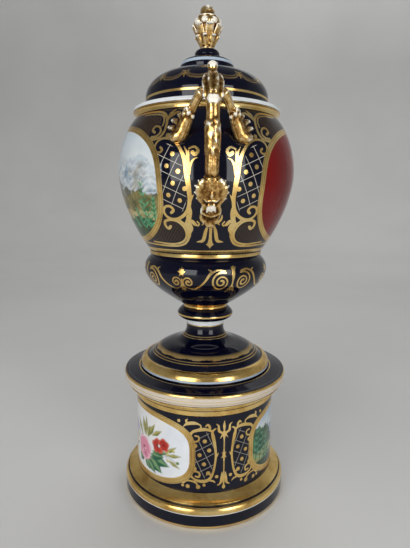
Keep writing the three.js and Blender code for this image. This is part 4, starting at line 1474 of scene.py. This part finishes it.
def gold_colour(tree):
    """Burnished gold: fine wear over slow changes of tone."""
    slow = calculate(tree, "MULTIPLY", noise(tree, 42), 0.8)
    fine = calculate(tree, "MULTIPLY", noise(tree, 520, 4, 0.7), 0.2)
    stops = ((0.3, (0.50, 0.28, 0.07)), (0.5, (0.87, 0.59, 0.20)), (0.7, (0.96, 0.74, 0.34)))
    return ramp(tree, calculate(tree, "ADD", slow, fine), *stops)


def weave_lines(tree):
    """The trellis: hair lines where either of its two coordinates is a whole number."""
    split = tree.nodes.new("ShaderNodeSeparateXYZ")
    feed(tree, split, {"Vector": attribute(tree, "weave", "Vector")})
    near = [calculate(tree, "PINGPONG", split.outputs[axis], 0.5) for axis in ("X", "Y")]
    line = spread(tree, calculate(tree, "MINIMUM", *near), 0.013, 0.030, 1, 0)
    return calculate(tree, "MULTIPLY", line, split.outputs["Z"])


def porcelain_material():
    """Painted and gilt porcelain under a glossy glaze, from the layers stored in the mesh."""
    material, tree, shader = new_material("porcelain")
    edge = spread(tree, attribute(tree, "gild"), -0.13, 0.13, 0, 1)
    worn = spread(tree, noise(tree, 900, 3, 0.6), 0.30, 0.38, 0.55, 1)
    gilt = calculate(tree, "MAXIMUM", edge, attribute(tree, "lace"))
    gilt = calculate(tree, "MULTIPLY", gilt, worn)
    brushed = spread(tree, noise(tree, 130), 0.3, 0.7, 0, 0.10)
    paint = attribute(tree, "paint", "Color")
    ground = blend_colours(tree, brushed, paint, (0.5, 0.5, 0.52), "MULTIPLY")
    ground = blend_colours(tree, weave_lines(tree), ground, (0.60, 0.56, 0.46))
    gold = blend_colours(tree, attribute(tree, "ink"), gold_colour(tree), (0.10, 0.045, 0.012))
    rough_gold = spread(tree, noise(tree, 240), 0.3, 0.7, 0.15, 0.27)
    rough_glaze = spread(tree, noise(tree, 70), 0.3, 0.7, 0.035, 0.075)
    surface = calculate(tree, "ADD", calculate(tree, "MULTIPLY", gilt, 0.5), noise(tree, 60, 2))
    feed(tree, shader, {
        "Base Color": blend_colours(tree, gilt, ground, gold),
        "Metallic": calculate(tree, "MULTIPLY", gilt, 0.96),
        "Roughness": add_node(tree, "Mix", {0: gilt, 2: rough_glaze, 3: rough_gold}),
        "Specular IOR Level": 0.36,
        "Normal": roughen(tree, surface, 0.12, 0.0002),
    })
    return material


def relief_material():
    """Moulded porcelain gilt all over: brown painted shade in its hollows, and cream on its high edges
    and pale spots, partly wear and partly painted highlight.
    """
    material, tree, shader = new_material("gilt_relief")
    mottle = spread(tree, noise(tree, 330, 5, 0.7), 0.3, 0.7, -4.5, 3.5)
    height = calculate(tree, "ADD", attribute(tree, "relief"), mottle, clamp=False)
    height = spread(tree, height, -6.2, 9.8, 0, 1)
    # The ramp by relief paints shade brown in the hollows and highlights cream on the high points.
    colour = ramp(
        tree, height, (0.12, (0.035, 0.013, 0.003)), (0.34, (0.27, 0.13, 0.035)),
        (0.50, (0.62, 0.37, 0.12)), (0.66, (0.86, 0.60, 0.25)), (0.86, (0.94, 0.89, 0.78)),
    )
    feed(tree, shader, {
        "Base Color": colour,
        "Metallic": spread(tree, height, 0.72, 0.90, 0.96, 0.1),
        "Roughness": spread(tree, noise(tree, 260), 0.3, 0.7, 0.16, 0.30),
        "Normal": roughen(tree, noise(tree, 420, 4, 0.6), 0.25, 0.0003),
    })
    return material


def studio_material():
    material, tree, shader = new_material("studio_paper")
    colour = ramp(tree, noise(tree, 1.5), (0.35, (0.56, 0.56, 0.555)), (0.65, (0.61, 0.61, 0.60)))
    feed(tree, shader, {"Base Color": colour, "Roughness": 0.55})
    return material


porcelain = porcelain_material()
gilt_relief = relief_material()


# Turned pieces: rings and glazes are pairs of lengths along the outline


def row_marks(path, rings, glazes):
    """The lengths that need a row of their own, so that rings and glazes end crisply."""
    marks = []
    for start, end in rings:
        marks += [start - 0.3, start, (start + end) / 2, end, end + 0.3]
    for start, end, _ in glazes:
        marks += [start - 0.04, start + 0.04, end - 0.04, end + 0.04]
    return [mark for mark in marks if 0 < mark < path[-1, 0]]


def decorate(shape, rings, glazes):
    for start, end, colour in glazes:
        shape.flood(start, end, colour)
    for start, end in rings:
        shape.band(start, end)


def turn(path, columns, step=2, rings=(), glazes=(), zones=(), closed=False, ground=COBALT):
    lengths = row_lengths(path, step, zones, row_marks(path, rings, glazes))
    if closed:
        lengths = lengths[:-1]
    shape = Turned(path, lengths, ring_angles(columns), ground)
    decorate(shape, rings, glazes)
    return shape


def outer_heights(path, radius):
    """A function for the length at a height on the outer face, past where a radius is first met."""
    start = length_at(path, radius=radius)
    return lambda height: length_at(path, height, after=start)


def finish_piece(thing, material, slot, *nodes):
    thing.data.materials.clear()
    thing.data.materials.append(material)
    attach(thing, "root")
    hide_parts(*nodes)


def line_at(length, half=0.28):
    return (length - half, length + half)


def make_base():
    path = base_path()
    up = lambda height: length_at(path, height, after=2)
    rings = (
        (length_at(path, radius=79.5), up(4)),
        (up(15), up(20.8)),
        (up(21.5), up(28.3)),
    )
    shape = turn(path, 144, rings=rings, glazes=[(up(14.4), up(15), WHITE)], closed=True)
    finish_piece(shape.build("plinth_base", True), porcelain, "cobalt_glaze", "plinth")


def make_drum():
    path = drum_path()
    datum = (length_at(path, DRUM_BOTTOM + 0.1), length_at(path, DRUM_TOP))
    shape = turn(path, 480, step=3, zones=[(*datum, 0.85)], closed=True)
    for turned in (0, 180):
        for flip in (1, -1):
            drum_side(Pen(shape, PLINTH_TURN + turned, flip, datum))
    for side, picture in ((-90, white_ground), (90, valley_view)):
        pen = Pen(shape, PLINTH_TURN + side, 1, datum)
        pen.frame(64.8, outer=(68.3, 35.5), inner=(63.8, 30), power=3.4, picture=picture)
    valley_ferns(pen)
    garden_posy(Pen(shape, PLINTH_TURN, 1, datum))
    finish_piece(shape.build("plinth_drum", True), porcelain, "cobalt_glaze", "plinth")


def make_cap():
    path = cap_path()
    up = outer_heights(path, 65)
    top = lambda radius: length_at(path, radius=radius, after=up(127))
    rings = (
        (up(103.2), up(108.2)),
        (up(108.9), up(115.4)),
        line_at(up(117.2), 0.2),
        line_at(up(121.6), 0.22),
        (up(124.9), up(127)),
        (top(67), top(66)),
    )
    glazes = (
        (up(115.9), up(118.2), CREAM),
        (up(119.2), up(125), CREAM),
        (top(77.2), top(76.8), (0.07, 0.07, 0.09)),
    )
    shape = turn(path, 144, rings=rings, glazes=glazes)
    finish_piece(shape.build("plinth_cap"), porcelain, "cobalt_glaze", "plinth")


def make_socle():
    path = socle_path()
    up = outer_heights(path, 64.6)
    rings = [(up(133.5), up(140.3))]
    rings += [line_at(up(height)) for height in (144.4, 146, 159.8, 161.5, 171.6)]
    glazes = ((up(131.6), up(133.4), PALE_BLUE), (up(172.2), path[-1, 0], WHITE))
    shape = turn(path, 192, rings=rings, glazes=glazes, zones=[(up(147), up(152.5), 0.7)])
    start, end = up(147.6), up(150.6)
    scallop = np.abs(np.sin(shape.theta * PETALS / 2)) ** 0.6
    edge = start + 1.2 * (1 - scallop)
    fade = np.clip((end - shape.along) / (end - start), 0, 1) * 0.6
    shape.lace = np.where((shape.along > edge) & (shape.along < end), fade, shape.lace)
    finish_piece(shape.build("socle_turned"), porcelain, "cobalt_glaze", "socle")


def make_cup():
    path = cup_path()
    up = outer_heights(path, 24.2)
    rings = (
        (up(181.6), up(183)), (up(189.6), up(194.8)), line_at(up(202.5), 0.22), (up(243.2), up(246))
    )
    shape = turn(path, 360, rings=rings, zones=[(up(210), up(240.5), 0.75)])
    datum = (length_at(path, radius=24.2), up(241))
    for quarter in range(4):
        for flip in (1, -1):
            cup_side(Pen(shape, CUP_TURN + 90 * quarter, flip, datum))
    finish_piece(shape.build("vase_cup"), porcelain, "cobalt_glaze", "vase_body")


def make_belly():
    """The belly and shoulder share their outline, and meet in one row at the widest place."""
    path = belly_path()
    up = lambda height: length_at(path, height)
    rings = ((up(247.2), up(250.4)), (up(368.3), up(372.6)))
    glazes = [(up(373.1), path[-1, 0], WHITE)]
    marks = row_marks(path, rings, glazes) + [up(BELLY_MIDDLE)]
    lengths = row_lengths(path, 2, [(up(250), up(368), 0.75)], marks)
    seam = int(np.argmin(np.abs(lengths - up(BELLY_MIDDLE))))
    angles = ring_angles(580, [(0, 52, 1.7), (180, 52, 1.7)])
    datum = (0, up(LIP_TOP - 0.5))
    panels = ((-90, alpine_view, near_bank), (90, red_ground, panel_posy))
    for name, rows in (("vase_belly", lengths[: seam + 1]), ("vase_shoulder", lengths[seam:])):
        shape = Turned(path, rows, angles, COBALT)
        decorate(shape, rings, glazes)
        for turned in (0, 180):
            for flip in (1, -1):
                belly_side(Pen(shape, PAINT_TURN + turned, flip, datum))
        for side, picture, foreground in panels:
            pen = Pen(shape, PAINT_TURN + side, 1, datum)
            pen.frame(306.5, outer=(60.5, 52), inner=(57, 47.5), power=2.8, picture=picture)
            foreground(pen)
        finish_piece(shape.build(name), porcelain, "cobalt_glaze", "vase_body")


def make_lining():
    shape = turn(lining_path(), 96, step=4, ground=WHITE)
    finish_piece(shape.build("vase_lining"), porcelain, "white_glaze", "vase_body")


def make_lid():
    path = lid_path()
    up = outer_heights(path, 57.1)
    rings = ((up(383.4), up(385.2)), line_at(up(411), 0.2))
    glazes = ((0, length_at(path, radius=53), WHITE), (up(415.8), up(418.6), PALE_BLUE))
    shape = turn(path, 280, rings=rings, glazes=glazes, zones=[(up(389), up(402), 0.7)])
    datum = (length_at(path, radius=57.1), up(410))
    for k in range(SWAGS):
        for flip in (1, -1):
            dome_side(Pen(shape, LID_TURN + 360 / SWAGS * k, flip, datum))
    finish_piece(shape.build("lid_turned"), porcelain, "cobalt_glaze", "lid")


def make_handles():
    clay = handle_clay()
    front = clay.fuse("handle_front", voxel=0.58)
    mark_relief_and_highlights(front, clay, rounds=34)
    for thing in (front, turned_copy(front, "handle_back")):
        finish_piece(thing, gilt_relief, "gilding", "vase_body")


def make_finial():
    clay = finial_clay()
    finial = clay.fuse("finial", voxel=0.42)
    mark_relief_and_highlights(finial, clay, rounds=36)
    finish_piece(finial, gilt_relief, "gilding", "lid")


make_base()
make_drum()
make_cap()
make_socle()
make_cup()
make_belly()
make_lining()
make_lid()
make_handles()
make_finial()


# Stage, light and camera


def add_camera():
    data = bpy.data.cameras.new("camera")
    data.sensor_width = 36
    data.lens = FOCAL_PIXELS * data.sensor_width / FRAME_HEIGHT
    data.clip_start = 0.01
    data.clip_end = 50
    camera = bpy.data.objects.new("camera", data)
    bpy.context.scene.collection.objects.link(camera)
    spot = Vector((math.sin(CAMERA_TURN), -math.cos(CAMERA_TURN), 0)) * CAMERA_DISTANCE
    camera.location = (spot + Vector((0, 0, CAMERA_HEIGHT))) * MM
    right = Vector((math.cos(CAMERA_TURN), math.sin(CAMERA_TURN), 0))
    level = ((-spot).normalized() + right * math.tan(CAMERA_YAW)).normalized()
    forward = level * math.cos(CAMERA_PITCH) - Vector((0, 0, math.sin(CAMERA_PITCH)))
    roll = Quaternion((0, 0, 1), CAMERA_ROLL)
    camera.rotation_euler = (forward.to_track_quat("-Z", "Y") @ roll).to_euler()
    bpy.context.scene.camera = camera


def add_area(name, azimuth, distance, height, size, power):
    """A rectangular light in metres, turned to the middle of the vase."""
    data = bpy.data.lights.new(name, "AREA")
    data.shape = "RECTANGLE"
    data.size, data.size_y = size
    data.energy = power
    light = bpy.data.objects.new(name, data)
    bpy.context.scene.collection.objects.link(light)
    a = math.radians(azimuth)
    light.location = (math.sin(a) * distance, -math.cos(a) * distance, height)
    direction = Vector((0, 0, LIGHT_AIM)) - light.location
    light.rotation_euler = direction.to_track_quat("-Z", "Y").to_euler()
    return light


def add_lights():
    """Two windows that show only as reflections, and soft light from above on vase and backdrop."""
    for name, azimuth, width, power in (("window_left", -32, 0.66, 7), ("window_right", 33, 0.52, 5.5)):
        window = add_area(name, azimuth, 1.3, 0.40, (width, 0.80), power)
        window.visible_camera = False
    overhead = add_area("overhead", -20, 0.9, 1.6, (1.0, 1.0), 9)
    backdrop = add_area("backdrop", 160, 1.9, 2.9, (2.4, 2.4), 40)
    backdrop.rotation_euler = (0, 0, 0)
    for light in (overhead, backdrop):
        light.visible_glossy = False


def add_stage():
    """A round paper floor that sweeps up into a wall on every side."""
    flat, bend, top = 1.9, 1.2, 3.4
    turns, columns = 12, 96
    outline = [(flat, 0)]
    for k in range(1, turns + 1):
        a = math.pi / 2 * k / turns
        outline.append((flat + bend * math.sin(a), bend * (1 - math.cos(a))))
    outline.append((flat + bend, top))
    angles = 2 * math.pi * np.arange(columns) / columns
    rings = [
        np.stack([radius * np.cos(angles), radius * np.sin(angles), height + 0 * angles], -1)
        for radius, height in outline
    ]
    faces = grid_faces(len(rings), columns, caps=(True, False))
    sweep = mesh_object("sweep", np.vstack(rings) / MM, faces)
    sweep.data.materials.append(studio_material())


def add_world():
    world = bpy.data.worlds.new("studio")
    bpy.context.scene.world = world
    world.use_nodes = True
    background = world.node_tree.nodes["Background"]
    background.inputs["Color"].default_value = (0.80, 0.81, 0.82, 1)
    background.inputs["Strength"].default_value = 0.22
    bpy.context.scene.view_settings.view_transform = "Standard"


add_camera()
add_lights()
add_stage()
add_world()
